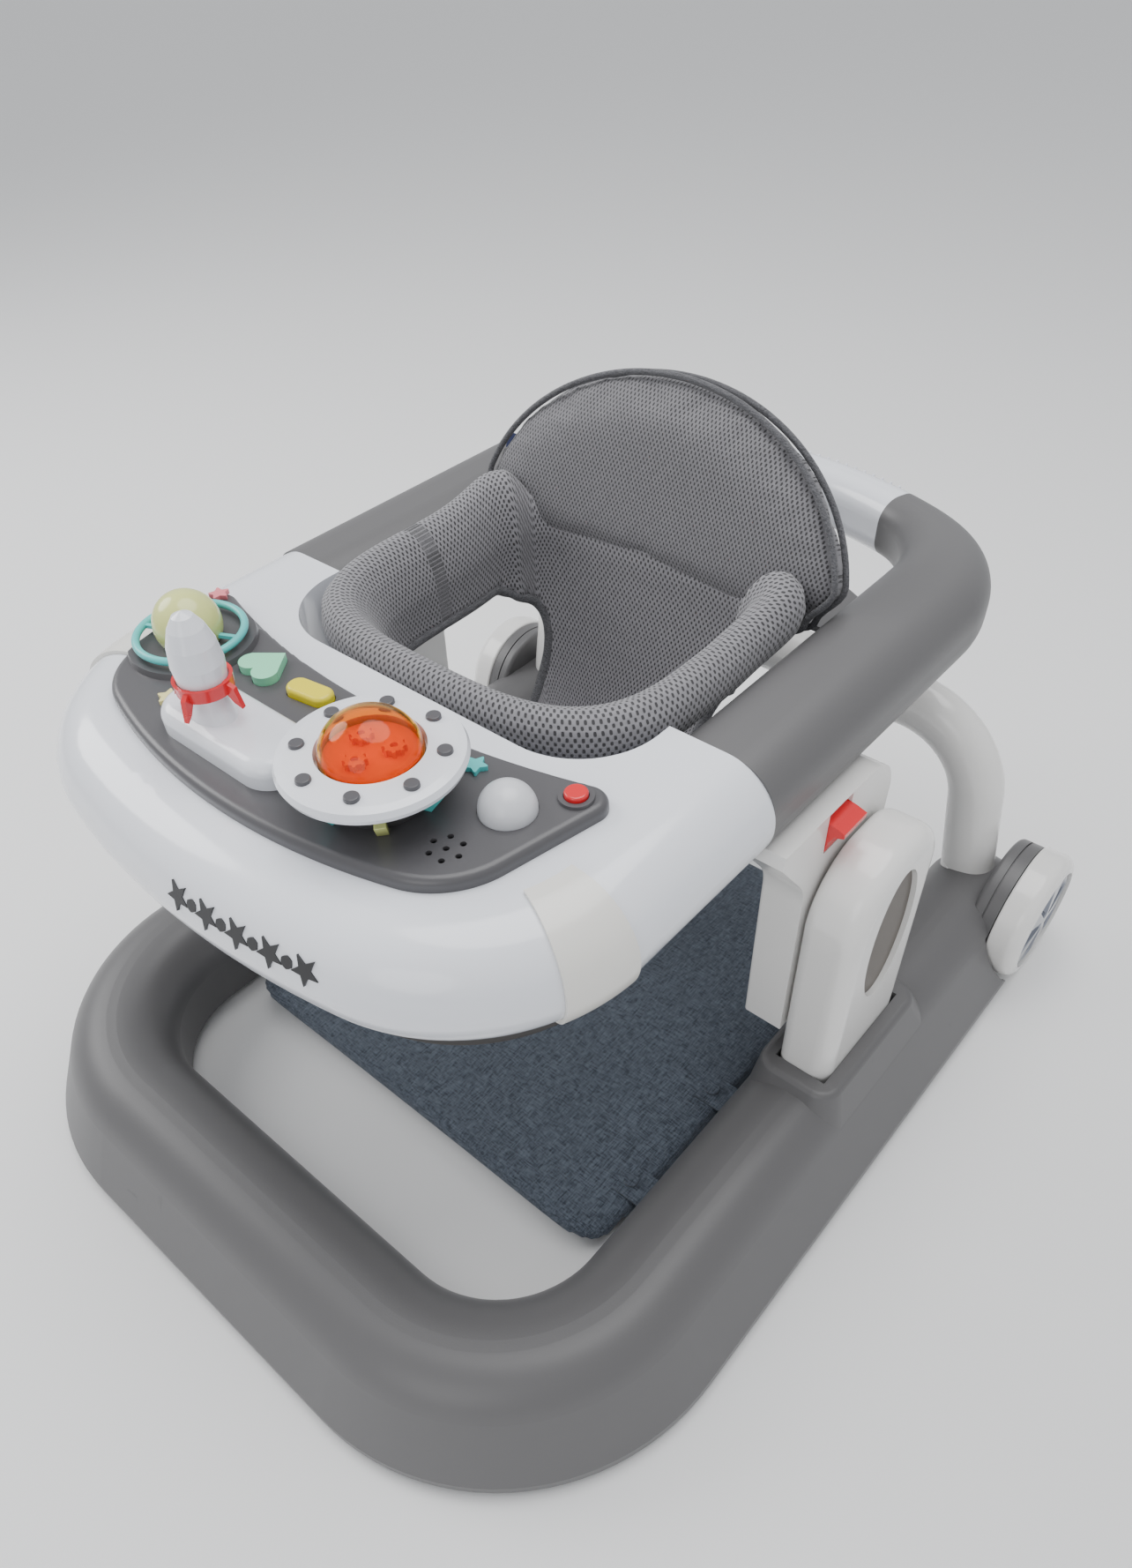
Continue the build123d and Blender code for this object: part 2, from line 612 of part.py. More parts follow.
def slider():
    """Plate that hangs from an arm and runs on the column; it cups the arm from below."""
    y0, y1 = COLUMN_Y - COLUMN_DEPTH / 2 + 2, COLUMN_Y + COLUMN_DEPTH / 2 - 8
    outline = [(y0, SLIDER_BOTTOM), (y1, SLIDER_BOTTOM), (y1 + 5, SLIDER_TOP), (y0 - 34, SLIDER_TOP),
               (y0 - 36, SLIDER_TOP - 10), (y0, SLIDER_TOP - 56)]
    face = upright_face(SLIDER_IN, outline, {2: 36, 5: 40})
    body = extrude(face, SLIDER_OUT - SLIDER_IN)
    inner = [e for e in edges_at(body, "X", SLIDER_IN) if e.center().Z < SLIDER_TOP - 1]
    body = fillet(inner, 3)
    body = body - arm_solid(0, TRAY_END) - tray_solid()
    shell_room = block(SLIDER_IN + 4, SLIDER_OUT - 5, y0 + 5, y1 - 5, 0, ARM_Z - ARM_HEIGHT / 2 - 9)
    tongue = block(SLIDER_OUT, COLUMN_IN + 8, COLUMN_Y - 6, COLUMN_Y + 6, SLIDER_BOTTOM + 6,
                   COLUMN_TOP - 14 - HEIGHT_TRAVEL)
    pocket = block(SLIDER_OUT - 3.6, SLIDER_OUT + 1, LATCH_Y0 - 0.5, LATCH_Y1 + 0.5, LATCH_LOW - 2,
                   SLIDER_TOP - 1)
    body = body - shell_room - pocket + tongue
    return max(body.solids(), key=lambda s: s.volume)


def latch():
    """Pull tab whose upper edge hooks outward over a finger hollow."""
    x, z = SLIDER_OUT, LATCH_LOW
    back = x - 3.3
    profile = make_face(Polyline(
        (back, 0, z), (x + 0.4, 0, z), (x + 1.6, 0, z + 9), (x + 5, 0, z + 15), (x + 12, 0, z + 18),
        (x + 12, 0, z + 21.5), (x + 4, 0, z + 24), (back, 0, z + 25), close=True))
    return extrude(Pos(0, LATCH_Y1, 0) * profile, LATCH_Y1 - LATCH_Y0, dir=(0, -1, 0))


# ---- seat and mat
def seat_rim():
    """Padded roll round the front and sides of the opening."""
    width, height = 30.0, 27.0
    off = width / 2 + 0.6
    half = ARM_X - ARM_WIDTH / 2 - off
    front = OPENING_FRONT + off
    r = OPENING_R - off
    q = r * (1 - math.sqrt(0.5))
    end = 126.0
    path = Wire([
        Edge.make_line((-half, end, 0), (-half, front + r, 0)),
        Edge.make_three_point_arc((-half, front + r, 0), (-half + q, front + q, 0), (-half + r, front, 0)),
        Edge.make_line((-half + r, front, 0), (half - r, front, 0)),
        Edge.make_three_point_arc((half - r, front, 0), (half - q, front + q, 0), (half, front + r, 0)),
        Edge.make_line((half, front + r, 0), (half, end, 0)),
    ])
    z = RING_TOP - 10
    plane = Plane(origin=(-half, end, z), x_dir=(1, 0, 0), z_dir=(0, -1, 0))
    return Pos(0, 0, z) * sweep(Pos(0, 0, -z) * (plane * RectangleRounded(width, height, 12)), path=path)


def back_plane():
    """The backrest's front face: it leans back from the rear of the opening."""
    lean = math.radians(BACK_LEAN)
    return Plane(origin=(0, 150, RING_TOP - 18), x_dir=(1, 0, 0), z_dir=(0, -math.cos(lean), math.sin(lean)))


def seat_back():
    half = ARM_X - ARM_WIDTH / 2 - 2
    straight = 62.0
    outline = Pos(0, straight) * Ellipse(half, BACK_HEIGHT - straight)
    outline = outline & Pos(0, straight + BACK_HEIGHT / 2) * Rectangle(2 * half, BACK_HEIGHT)
    outline += Pos(0, straight / 2) * Rectangle(2 * half, straight)
    pad = back_plane() * extrude(outline, -BACK_THICK)
    return fillet(pad.edges(), 11)


def seat_sling():
    """Bucket with two leg holes and a crotch panel between them."""
    top = RING_TOP - 24
    centre = (0, 33.0, top)
    a, b = ARM_X - ARM_WIDTH / 2 - 12, 116.0
    wall = 6.0
    outer = scale(Sphere(1), (a, b, SEAT_DEPTH))
    inner = scale(Sphere(1), (a - wall, b - wall, SEAT_DEPTH - wall))
    bowl = Pos(*centre) * (outer - inner)
    bowl = bowl & block(-300, 300, -300, 300, 0, top)
    hole = Pos(82, -30, top - 92) * Rot(55, 0, 38) * Cylinder(50, 260)
    hole = hole & block(30, 300, -300, 70, 0, top - 22)
    bowl = bowl - hole - other_side(hole)
    return max(bowl.solids(), key=lambda s: s.volume)


def seat_label():
    half = ARM_X - ARM_WIDTH / 2 - 2
    return back_plane() * Pos(-half - 9.4, 42, -BACK_THICK / 2) * Box(18, 26, 1.6)


def foot_mat():
    mat = block(-MAT_HALF, MAT_HALF, MAT_FRONT, MAT_REAR, MAT_BOTTOM, MAT_BOTTOM + MAT_THICK)
    mat = fillet(mat.edges().filter_by(Axis.Z), 24)
    return fillet(mat.faces().sort_by(Axis.Z)[-1].edges(), 3)


def mat_straps():
    straps = []
    for y in (MAT_FRONT + 60, (MAT_FRONT + MAT_REAR) / 2 - 40, MAT_REAR - 40):
        top = MAT_BOTTOM + MAT_THICK
        strap = block(MAT_HALF - 22, RAIL_X - RAIL_WIDTH / 2 + 1, y - 14, y + 14, top, top + 1.6)
        strap += post(MAT_HALF - 13, y, top + 1.6, top + 4, 6)
        straps.append(strap)
        straps.append(other_side(strap))
    return Compound(children=straps)


# ---- toys and what is under them
def star(x, y, z, r, height, turn):
    points = []
    for k in range(10):
        reach = r if k % 2 == 0 else r * 0.5
        angle = math.radians(turn + 36 * k)
        points.append((reach * math.cos(angle), reach * math.sin(angle)))
    face = make_face(Polyline(*points, close=True))
    face = fillet(face.vertices(), 0.8)
    return extrude(Pos(x, y, z) * face, height)


def stars():
    spots = ((-180.0, -106.0, 8.5, 80), (-104.0, -201.0, 8.5, 60), (95.0, -130.0, 8.5, 95))
    return Compound(children=[star(x, y, PANEL_TOP, r, 3.2, turn) for x, y, r, turn in spots])


def heart_face(size):
    """Heart of two round lobes and two straight sides that meet in a point."""
    r = size * 0.29
    lobes = Pos(-r * 0.92, size * 0.18) * Circle(r) + Pos(r * 0.92, size * 0.18) * Circle(r)
    point = make_face(Polyline((-1.78 * r, size * 0.02), (0, -size * 0.5), (1.78 * r, size * 0.02),
                               (0, size * 0.3), close=True))
    return lobes + point


def toy_panel():
    body = extrude(Pos(0, 0, RING_TOP) * panel_plan(0), PANEL_RISE)
    body = fillet(edges_at(body, "Z", PANEL_TOP), 5)
    body -= extrude(Pos(0, 0, RING_TOP - 1) * panel_plan(15), PANEL_RISE - PANEL_WALL)
    skirt = extrude(Pos(0, 0, RING_TOP - 6) * panel_plan(13), 7.5)
    skirt -= extrude(Pos(0, 0, RING_TOP - 7) * panel_plan(15), 9)
    body += skirt
    plinth = turned([(0, PANEL_TOP - PANEL_WALL), (44, PANEL_TOP - PANEL_WALL), (42, PANEL_TOP + 4),
                     (0, PANEL_TOP + 4)], PLANET_X, PLANET_Y)
    body += plinth & extrude(Pos(0, 0, RING_TOP) * panel_plan(5), 40)
    body += post(PLANET_X, PLANET_Y, PANEL_TOP, PANEL_TOP + 16, PIN_R)
    for k in range(6):
        angle = math.radians(60 * k)
        body -= post(SPEAKER_X + 9.5 * math.cos(angle), SPEAKER_Y + 9.5 * math.sin(angle),
                     RING_TOP, PANEL_TOP + 1, 1.9)
    body -= post(SPEAKER_X, SPEAKER_Y, RING_TOP, PANEL_TOP + 1, 1.9)
    body -= extrude(Pos(HEART_X, HEART_Y, RING_TOP - 2) * Rot(0, 0, HEART_TURN) * heart_face(HEART_SIZE + 1.0), 30)
    body -= Pos(YELLOW_X, YELLOW_Y, RING_TOP) * Rot(0, 0, 8) * extrude(RectangleRounded(35, 17, 8), 30, both=True)
    under = PANEL_TOP - PANEL_WALL
    body -= post(LAMP_X, LAMP_Y, RING_TOP, PANEL_TOP + 9, LAMP_R + FIT)
    body -= post(LAMP_X, LAMP_Y, RING_TOP - 8, under, LAMP_R + 3 + FIT)
    body -= post(SPEAKER_X, SPEAKER_Y, RING_TOP - 8, under, SPEAKER_R + FIT)
    low, high = PANEL_TOP - PANEL_WALL, PANEL_TOP + 2
    body += turned([(POWER_R, low), (POWER_R + 4, low), (POWER_R + 3.4, high), (POWER_R, high)],
                   POWER_X, POWER_Y)
    body -= post(POWER_X, POWER_Y, RING_TOP - 10, PANEL_TOP + 9, POWER_R + 0.4)
    return max(body.solids(), key=lambda s: s.volume)


def heart_button():
    face = Pos(HEART_X, HEART_Y, RING_TOP + 3) * Rot(0, 0, HEART_TURN) * heart_face(HEART_SIZE)
    cap = extrude(face, PANEL_RISE + 2.5)
    cap = cap + post(HEART_X, HEART_Y, RING_TOP - 16, RING_TOP + 4, 3)
    return cap


def yellow_button():
    face = Pos(YELLOW_X, YELLOW_Y, RING_TOP + 3) * Rot(0, 0, 8) * RectangleRounded(34, 16, 7.5)
    cap = extrude(face, PANEL_RISE + 3)
    cap = fillet(edges_at(cap, "Z", RING_TOP + PANEL_RISE + 6), 3)
    return cap + post(YELLOW_X, YELLOW_Y, RING_TOP - 16, RING_TOP + 4, 3)


def power_button():
    top = PANEL_TOP + 5
    cap = post(POWER_X, POWER_Y, RING_TOP + 3, top, POWER_R)
    cap = fillet(edges_at(cap, "Z", top), 1.5)
    return cap + post(POWER_X, POWER_Y, RING_TOP - 16, RING_TOP + 4, 2.5)


def lamp_dome():
    seat = PANEL_TOP - PANEL_WALL
    ball = Pos(LAMP_X, LAMP_Y, PANEL_TOP + 1) * Sphere(LAMP_R)
    dome = ball & post(LAMP_X, LAMP_Y, seat, PANEL_TOP + 40, LAMP_R)
    flange = post(LAMP_X, LAMP_Y, seat - 2, seat, LAMP_R + 3)
    return dome + flange - post(LAMP_X, LAMP_Y, seat - 3, PANEL_TOP + 4, LAMP_R - 3)


def rocket_pedestal():
    """Low rounded plinth with a neck that rises to the rocket; it stops short of the saucer's cone."""
    x0, x1 = -92.0, 24.0
    half = 24.0
    plan = Pos((x0 + x1) / 2, ROCKET_Y + 4) * RectangleRounded(x1 - x0, 2 * half, 22)
    body = extrude(Pos(0, 0, PANEL_TOP) * plan, 17)
    body = fillet(edges_at(body, "Z", PANEL_TOP + 17), 9)
    neck = loft([Pos(ROCKET_X - 2, ROCKET_Y, PANEL_TOP + 12) * Ellipse(21, 14),
                 Pos(ROCKET_X, ROCKET_Y, PANEL_TOP + 30) * Ellipse(10, 9)])
    return body + neck + post(ROCKET_X, ROCKET_Y, PANEL_TOP + 28, PANEL_TOP + 44, PIN_R)


def rocket():
    z = PANEL_TOP + 31
    profile = [(PIN_R + RUNNING, z), (11, z), (14.5, z + 10), (15.5, z + 22), (14, z + 34), (10.5, z + 44),
               (6, z + 51), (0, z + 54), (0, z + 16), (PIN_R + RUNNING, z + 16)]
    return turned(profile, ROCKET_X, ROCKET_Y)


def rocket_fins():
    """Band round the rocket with four swept fins."""
    z = PANEL_TOP + 31
    band = turned([(14.0, z + 4), (16.8, z + 4), (17.4, z + 12), (15.3, z + 12)], ROCKET_X, ROCKET_Y)
    fin = make_face(Polyline((14.6, 0, z + 12), (21, 0, z + 8), (23.5, 0, z - 5), (19, 0, z - 2),
                             (14.6, 0, z + 4), close=True))
    fin = extrude(fin, 1.6, both=True)
    for k in range(4):
        band += Pos(ROCKET_X, ROCKET_Y, 0) * Rot(0, 0, 90 * k + 20) * fin
    return band - rocket() - turned([(0, z - 9), (13.5, z - 9), (13.5, z), (0, z)], ROCKET_X, ROCKET_Y)


def planet():
    z = PLANET_Z
    ball = Pos(PLANET_X, PLANET_Y, z) * Sphere(PLANET_R)
    ball = ball - block(-400, 0, -400, 0, 0, PANEL_TOP + 5)
    return ball - post(PLANET_X, PLANET_Y, 0, PANEL_TOP + 16.5, PIN_R + RUNNING)


def planet_ring():
    z = PANEL_TOP + 9
    ring = Pos(PLANET_X, PLANET_Y, z) * Torus(35.5, 2.6)
    for k in range(2):
        ring += Pos(PLANET_X, PLANET_Y, z) * Rot(0, 0, 180 * k + 25) * Pos(28, 0, 0) * Box(14, 3, 2.4)
    ball = Pos(PLANET_X, PLANET_Y, PLANET_Z) * Sphere(PLANET_R)
    return ring - ball


def ufo_cone():
    profile = [(0, PANEL_TOP), (27, PANEL_TOP), (38, SAUCER_Z - 14), (34, SAUCER_Z - 11), (PIN_R, SAUCER_Z - 11),
               (PIN_R, SAUCER_Z - 2), (0, SAUCER_Z - 2)]
    return turned(profile, SAUCER_X, SAUCER_Y)


def ufo_ribs():
    """Six short blocks standing round the cone."""
    rib = make_face(Polyline((28, 0, PANEL_TOP), (33, 0, PANEL_TOP), (43, 0, SAUCER_Z - 15),
                             (38, 0, SAUCER_Z - 15), close=True))
    rib = extrude(rib, 3.4, both=True)
    ribs = []
    for k in range(6):
        angle = -100 + 60 * k
        ribs.append(Pos(SAUCER_X, SAUCER_Y, 0) * Rot(0, 0, angle) * rib - ufo_cone())
    return Compound(children=ribs)


def ufo_saucer():
    z = SAUCER_Z
    profile = [(PIN_R + RUNNING, z - 10.5), (36, z - 10.5), (48, z - 7), (52.4, z - 3), (SAUCER_R, z),
               (52, z + 3.5), (47, z + 4.6), (DOME_R + 1, z + 6), (DOME_R, z + 1), (PIN_R + RUNNING, z + 1)]
    saucer = turned(profile, SAUCER_X, SAUCER_Y)
    for k in range(DOT_COUNT):
        x, y = dot_spot(k)
        saucer -= post(x, y, z + 3, z + 20, DOT_R + 0.1)
    return saucer


def dot_spot(k):
    angle = math.radians(360 / DOT_COUNT * k + DOT_TURN)
    return SAUCER_X + DOT_RING * math.cos(angle), SAUCER_Y + DOT_RING * math.sin(angle)


def ufo_dots():
    dots = []
    for k in range(DOT_COUNT):
        x, y = dot_spot(k)
        dot = post(x, y, SAUCER_Z + 3, SAUCER_Z + 7.2, DOT_R)
        dots.append(fillet(edges_at(dot, "Z", SAUCER_Z + 7.2), 0.8))
    return Compound(children=dots)


def ufo_gears():
    """Painted floor under the dome, with three small toothed wheels standing on it."""
    z = SAUCER_Z + 1
    floor = post(SAUCER_X, SAUCER_Y, z, z + 2, DOME_R - 3)
    for k in range(3):
        angle = math.radians(120 * k + 40)
        x, y = SAUCER_X + 13 * math.cos(angle), SAUCER_Y + 13 * math.sin(angle)
        wheel = post(x, y, z + 2, z + 6, 5.4)
        for t in range(8):
            tooth = Pos(x, y, z + 4) * Rot(0, 0, 45 * t) * Pos(5.6, 0, 0) * Box(2.4, 1.8, 4)
            wheel += tooth
        floor += wheel - post(x, y, z + 3.5, z + 10, 2.2)
    return floor


def ufo_dome():
    z = SAUCER_Z + 1
    height = 27.0
    outer = Pos(SAUCER_X, SAUCER_Y, z) * scale(Sphere(1), (DOME_R - 0.3, DOME_R - 0.3, height))
    inner = Pos(SAUCER_X, SAUCER_Y, z) * scale(Sphere(1), (DOME_R - 2.3, DOME_R - 2.3, height - 2))
    return (outer - inner) & block(-200, 300, -400, 0, z, z + 100)


def tray_clip():
    """Band from the panel's end over the tray's side and under its edge."""
    thick, lift = 2.6, 0.15
    cx, cy = RING_HALF - TRAY_CORNER_R, clip_corner_y()
    mid_r = TRAY_CORNER_R - TRAY_ROUND
    z = RING_TOP - TRAY_ROUND
    r0, r1 = TRAY_ROUND + lift, TRAY_ROUND + lift + thick
    low = math.radians(-62)
    start = mid_r - 9
    outline = [
        Line((start, z + r0), (mid_r, z + r0)),
        ThreePointArc((mid_r, z + r0), (mid_r + r0 * math.cos(0.3), z + r0 * math.sin(0.3)),
                      (mid_r + r0 * math.cos(low), z - 1 + r0 * math.sin(low))),
        Line((mid_r + r0 * math.cos(low), z - 1 + r0 * math.sin(low)),
             (mid_r + r1 * math.cos(low), z - 1 + r1 * math.sin(low))),
        ThreePointArc((mid_r + r1 * math.cos(low), z - 1 + r1 * math.sin(low)),
                      (mid_r + r1 * math.cos(0.3), z + r1 * math.sin(0.3)), (mid_r, z + r1)),
        Line((mid_r, z + r1), (start, z + r1)),
        Line((start, z + r1), (start, z + r0)),
    ]
    face = Plane.XZ * make_face(outline)
    width = 20.0
    band = revolve(face, axis=Axis.Z, revolution_arc=width)
    return Pos(cx, cy, 0) * Rot(0, 0, -14 - width / 2) * band


def clip_corner_y():
    """Y of the centre of the tray's corner round, which touches its side and its bowed front."""
    cx = RING_HALF - TRAY_CORNER_R
    reach = TRAY_FRONT_R - TRAY_CORNER_R
    return TRAY_FRONT + TRAY_FRONT_R - math.sqrt(reach ** 2 - cx ** 2)


def speaker():
    z = RING_TOP - 16
    return turned([(0, z), (9, z), (9, z + 7), (SPEAKER_R, z + 13), (SPEAKER_R, z + 16), (0, z + 16)],
                  SPEAKER_X, SPEAKER_Y)


def circuit_board():
    return block(-110, 110, -205, -160, RING_TOP - 26, RING_TOP - 24.4)


def battery_box():
    box = block(-55, 55, -225, -150, RING_PAN + WALL, RING_PAN + WALL + 30)
    return fillet(box.edges().filter_by(Axis.Z), 4)


# ---- all nodes
def build():
    os.makedirs("parts", exist_ok=True)
    save("base_shell", base_shell())
    save("base_underside", base_underside())
    save("base_screws", base_screws())
    save("stop_pads", stop_pads())
    save("rear_arch", rear_arch())
    save("rear_axles", both_sides(rear_axle()))
    save("column_insets", both_sides(column_inset()))
    save("foot_mat", foot_mat())
    save("mat_straps", mat_straps())
    for place, (x, y) in CASTERS.items():
        save(f"caster_fork_{place}", caster_fork(x, y))
        save(f"caster_wheel_{place}", caster_wheel(x, y))
    pairs = {"column": column(), "wheel_rim": wheel_rim(), "hubcap": hubcap(), "arm": arm(),
             "slider": slider(), "latch": latch()}
    for name, part in pairs.items():
        save(f"{name}_left", part)
        save(f"{name}_right", other_side(part))
    single = {
        "tray_shell": tray_shell, "ring_lower_shell": ring_lower_shell, "tray_screws": tray_screws,
        "rear_grip": rear_grip, "rear_deck": rear_deck, "seat_rim": seat_rim, "seat_back": seat_back,
        "seat_sling": seat_sling, "seat_label": seat_label, "toy_panel": toy_panel, "stars": stars,
        "heart_button": heart_button, "yellow_button": yellow_button, "power_button": power_button,
        "lamp_dome": lamp_dome, "rocket_pedestal": rocket_pedestal, "rocket": rocket,
        "rocket_fins": rocket_fins, "planet": planet, "planet_ring": planet_ring, "ufo_cone": ufo_cone,
        "ufo_ribs": ufo_ribs, "ufo_saucer": ufo_saucer, "ufo_dots": ufo_dots, "ufo_gears": ufo_gears,
        "ufo_dome": ufo_dome, "speaker": speaker, "circuit_board": circuit_board, "battery_box": battery_box,
    }
    for name, make in single.items():
        save(name, make())
    save("tray_clips", both_sides(tray_clip()))


build()
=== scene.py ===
"""Baby walker: surfaces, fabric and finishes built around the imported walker."""

import math

import bmesh
import bpy
import numpy as np
from mathutils import Matrix, Vector, noise


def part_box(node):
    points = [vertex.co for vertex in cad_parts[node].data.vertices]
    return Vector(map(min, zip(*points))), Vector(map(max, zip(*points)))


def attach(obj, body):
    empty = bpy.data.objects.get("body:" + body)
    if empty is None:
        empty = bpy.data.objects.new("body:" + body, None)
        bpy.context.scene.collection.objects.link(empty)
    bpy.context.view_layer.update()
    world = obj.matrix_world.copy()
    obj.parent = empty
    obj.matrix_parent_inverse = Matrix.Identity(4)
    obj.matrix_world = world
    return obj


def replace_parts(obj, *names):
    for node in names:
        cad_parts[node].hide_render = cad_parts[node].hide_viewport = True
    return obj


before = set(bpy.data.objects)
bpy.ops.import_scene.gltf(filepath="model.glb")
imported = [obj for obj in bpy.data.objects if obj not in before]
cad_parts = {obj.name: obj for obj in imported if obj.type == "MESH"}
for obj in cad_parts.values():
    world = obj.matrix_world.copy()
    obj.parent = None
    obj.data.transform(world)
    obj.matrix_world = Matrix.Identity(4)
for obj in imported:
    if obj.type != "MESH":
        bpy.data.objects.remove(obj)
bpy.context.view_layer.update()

bl_info = {
    "name": "Baby Walker",
    "version": (1, 0, 0),
    "blender": (4, 5, 0),
    "location": "3D View > Sidebar > Walker",
    "description": "Builds the fabric, toys and finishes of a baby walker around its frame",
    "category": "Object",
}


# ---------------------------------------------------------------- places taken from the frame
def spot(node):
    """Middle of a node's box."""
    low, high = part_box(node)
    return (low + high) / 2


BACK_LOW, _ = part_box("seat_back")
RIM_LOW, RIM_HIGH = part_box("seat_rim")
MAT_LOW, MAT_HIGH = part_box("foot_mat")
TRAY_LOW, TRAY_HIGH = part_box("tray_shell")
_, GRIP_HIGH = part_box("rear_grip")
SAUCER = spot("ufo_saucer")

BACK_LEAN = math.radians(18.0)
BACK_HALF, BACK_RISE = 0.166, 0.130
BACK_DEPTH = 0.034
BACK_EDGE = 0.007
BACK_MIDDLE = 0.05
BACK_WRAP = 0.012
BACK_FORWARD = 0.004
SEAT_MIDDLE_Y = 0.040


# ---------------------------------------------------------------- settings shown to the user
class WalkerFabric(bpy.types.PropertyGroup):
    """Sizes and colours of the seat and the mat."""
    mesh_pitch: bpy.props.FloatProperty(
        name="Mesh pitch", description="Distance between holes of the air mesh",
        default=0.0040, min=0.001, unit="LENGTH")
    mesh_dark: bpy.props.FloatVectorProperty(
        name="Mesh ground", description="Colour in the holes of the air mesh",
        default=(0.030, 0.029, 0.032), subtype="COLOR")
    mesh_light: bpy.props.FloatVectorProperty(
        name="Mesh thread", description="Colour of the air mesh threads",
        default=(0.215, 0.210, 0.225), subtype="COLOR")
    mat_dark: bpy.props.FloatVectorProperty(
        name="Mat dark thread", description="Dark thread of the foot mat",
        default=(0.030, 0.038, 0.052), subtype="COLOR")
    mat_light: bpy.props.FloatVectorProperty(
        name="Mat light thread", description="Light thread of the foot mat",
        default=(0.125, 0.152, 0.195), subtype="COLOR")
    stitch_spacing: bpy.props.FloatProperty(
        name="Stitch spacing", description="Distance from one stitch to the next",
        default=0.0016, min=0.0005, unit="LENGTH")
    puff: bpy.props.FloatProperty(
        name="Puff", description="How far the padding may swell", default=0.006, unit="LENGTH")


class WalkerShells(bpy.types.PropertyGroup):
    """Colours of the moulded shells and toys."""
    grey: bpy.props.FloatVectorProperty(
        name="Grey shell", description="Base and arms", default=(0.112, 0.110, 0.112), subtype="COLOR")
    panel: bpy.props.FloatVectorProperty(
        name="Toy panel", description="Panel under the toys", default=(0.085, 0.083, 0.088), subtype="COLOR")
    white: bpy.props.FloatVectorProperty(
        name="White shell", description="Tray, grip and toys", default=(0.80, 0.82, 0.87), subtype="COLOR")
    warm_white: bpy.props.FloatVectorProperty(
        name="Column white", description="Columns, sliders and arch", default=(0.80, 0.79, 0.77),
        subtype="COLOR")
    dimple_spacing: bpy.props.FloatProperty(
        name="Dimple spacing", description="Distance between the dimples on the grip",
        default=0.009, min=0.003, unit="LENGTH")
    spokes: bpy.props.IntProperty(
        name="Hubcap spokes", description="Spokes of a hubcap", default=5, min=3, max=9)


class WalkerStage(bpy.types.PropertyGroup):
    """Camera and light."""
    heading: bpy.props.FloatProperty(
        name="Heading", description="Turn of the camera about the upright axis", default=math.radians(42.9),
        subtype="ANGLE")
    look_down: bpy.props.FloatProperty(
        name="Look down", description="Angle of the camera below level", default=math.radians(46.52),
        subtype="ANGLE")
    roll: bpy.props.FloatProperty(
        name="Roll", description="Roll of the camera", default=math.radians(-3.06), subtype="ANGLE")
    place: bpy.props.FloatVectorProperty(
        name="Camera place", description="Where the camera stands", default=(0.4536, -0.446, 0.800),
        subtype="TRANSLATION")
    lens: bpy.props.FloatProperty(
        name="Lens", description="Focal length in millimetres", default=24.37)
    shift: bpy.props.FloatProperty(
        name="Shift", description="Upward shift of the view, as a share of its longer side", default=0.07368)
    light: bpy.props.FloatProperty(
        name="Light", description="Power of the overhead light in watts", default=16.0)


# ---------------------------------------------------------------- node helpers
def add(nodes, kind, **settings):
    """A node with its properties and, by name or number, its input values set."""
    node = nodes.new(kind)
    for key, value in settings.items():
        if key.startswith("in_"):
            name = key[3:]
            node.inputs[int(name) if name.isdigit() else name.replace("_", " ")].default_value = value
        else:
            setattr(node, key, value)
    return node


def new_group(name, kind, inputs, outputs):
    """A node group with named sockets; each is (name, socket type, default)."""
    tree = bpy.data.node_groups.new(name, kind)
    for socket_name, socket_type, default in inputs:
        socket = tree.interface.new_socket(socket_name, in_out="INPUT", socket_type=socket_type)
        if default is not None:
            socket.default_value = default
    for socket_name, socket_type in outputs:
        tree.interface.new_socket(socket_name, in_out="OUTPUT", socket_type=socket_type)
    return tree, tree.nodes.new("NodeGroupInput"), tree.nodes.new("NodeGroupOutput")


def math_node(tree, operation, a, b=None, c=None):
    """A Math node; a, b and c are sockets or numbers."""
    node = tree.nodes.new("ShaderNodeMath")
    node.operation = operation
    for index, value in enumerate((a, b, c)):
        if value is None:
            continue
        if isinstance(value, (int, float)):
            node.inputs[index].default_value = value
        else:
            tree.links.new(value, node.inputs[index])
    return node.outputs[0]


def grain_group():
    """Fine moulded grain: a height, a slow tone drift and small scuffs."""
    tree, source, sink = new_group("moulded_grain", "ShaderNodeTree", [
        ("Vector", "NodeSocketVector", None), ("Grain", "NodeSocketFloat", 900.0),
        ("Drift", "NodeSocketFloat", 6.0), ("Scuff", "NodeSocketFloat", 22.0)],
        [("Height", "NodeSocketFloat"), ("Tone", "NodeSocketFloat"), ("Scuffs", "NodeSocketFloat")])
    fine = add(tree.nodes, "ShaderNodeTexNoise", in_Detail=3.0)
    slow = add(tree.nodes, "ShaderNodeTexNoise", in_Detail=2.0)
    mark = add(tree.nodes, "ShaderNodeTexNoise", in_Detail=6.0, in_Roughness=0.65, in_Distortion=1.4)
    for node, scale in ((fine, "Grain"), (slow, "Drift"), (mark, "Scuff")):
        tree.links.new(source.outputs["Vector"], node.inputs["Vector"])
        tree.links.new(source.outputs[scale], node.inputs["Scale"])
    sharp = add(tree.nodes, "ShaderNodeMapRange", in_1=0.66, in_2=0.74)
    tree.links.new(mark.outputs["Fac"], sharp.inputs[0])
    tree.links.new(fine.outputs["Fac"], sink.inputs["Height"])
    tree.links.new(slow.outputs["Fac"], sink.inputs["Tone"])
    tree.links.new(sharp.outputs[0], sink.inputs["Scuffs"])
    return tree


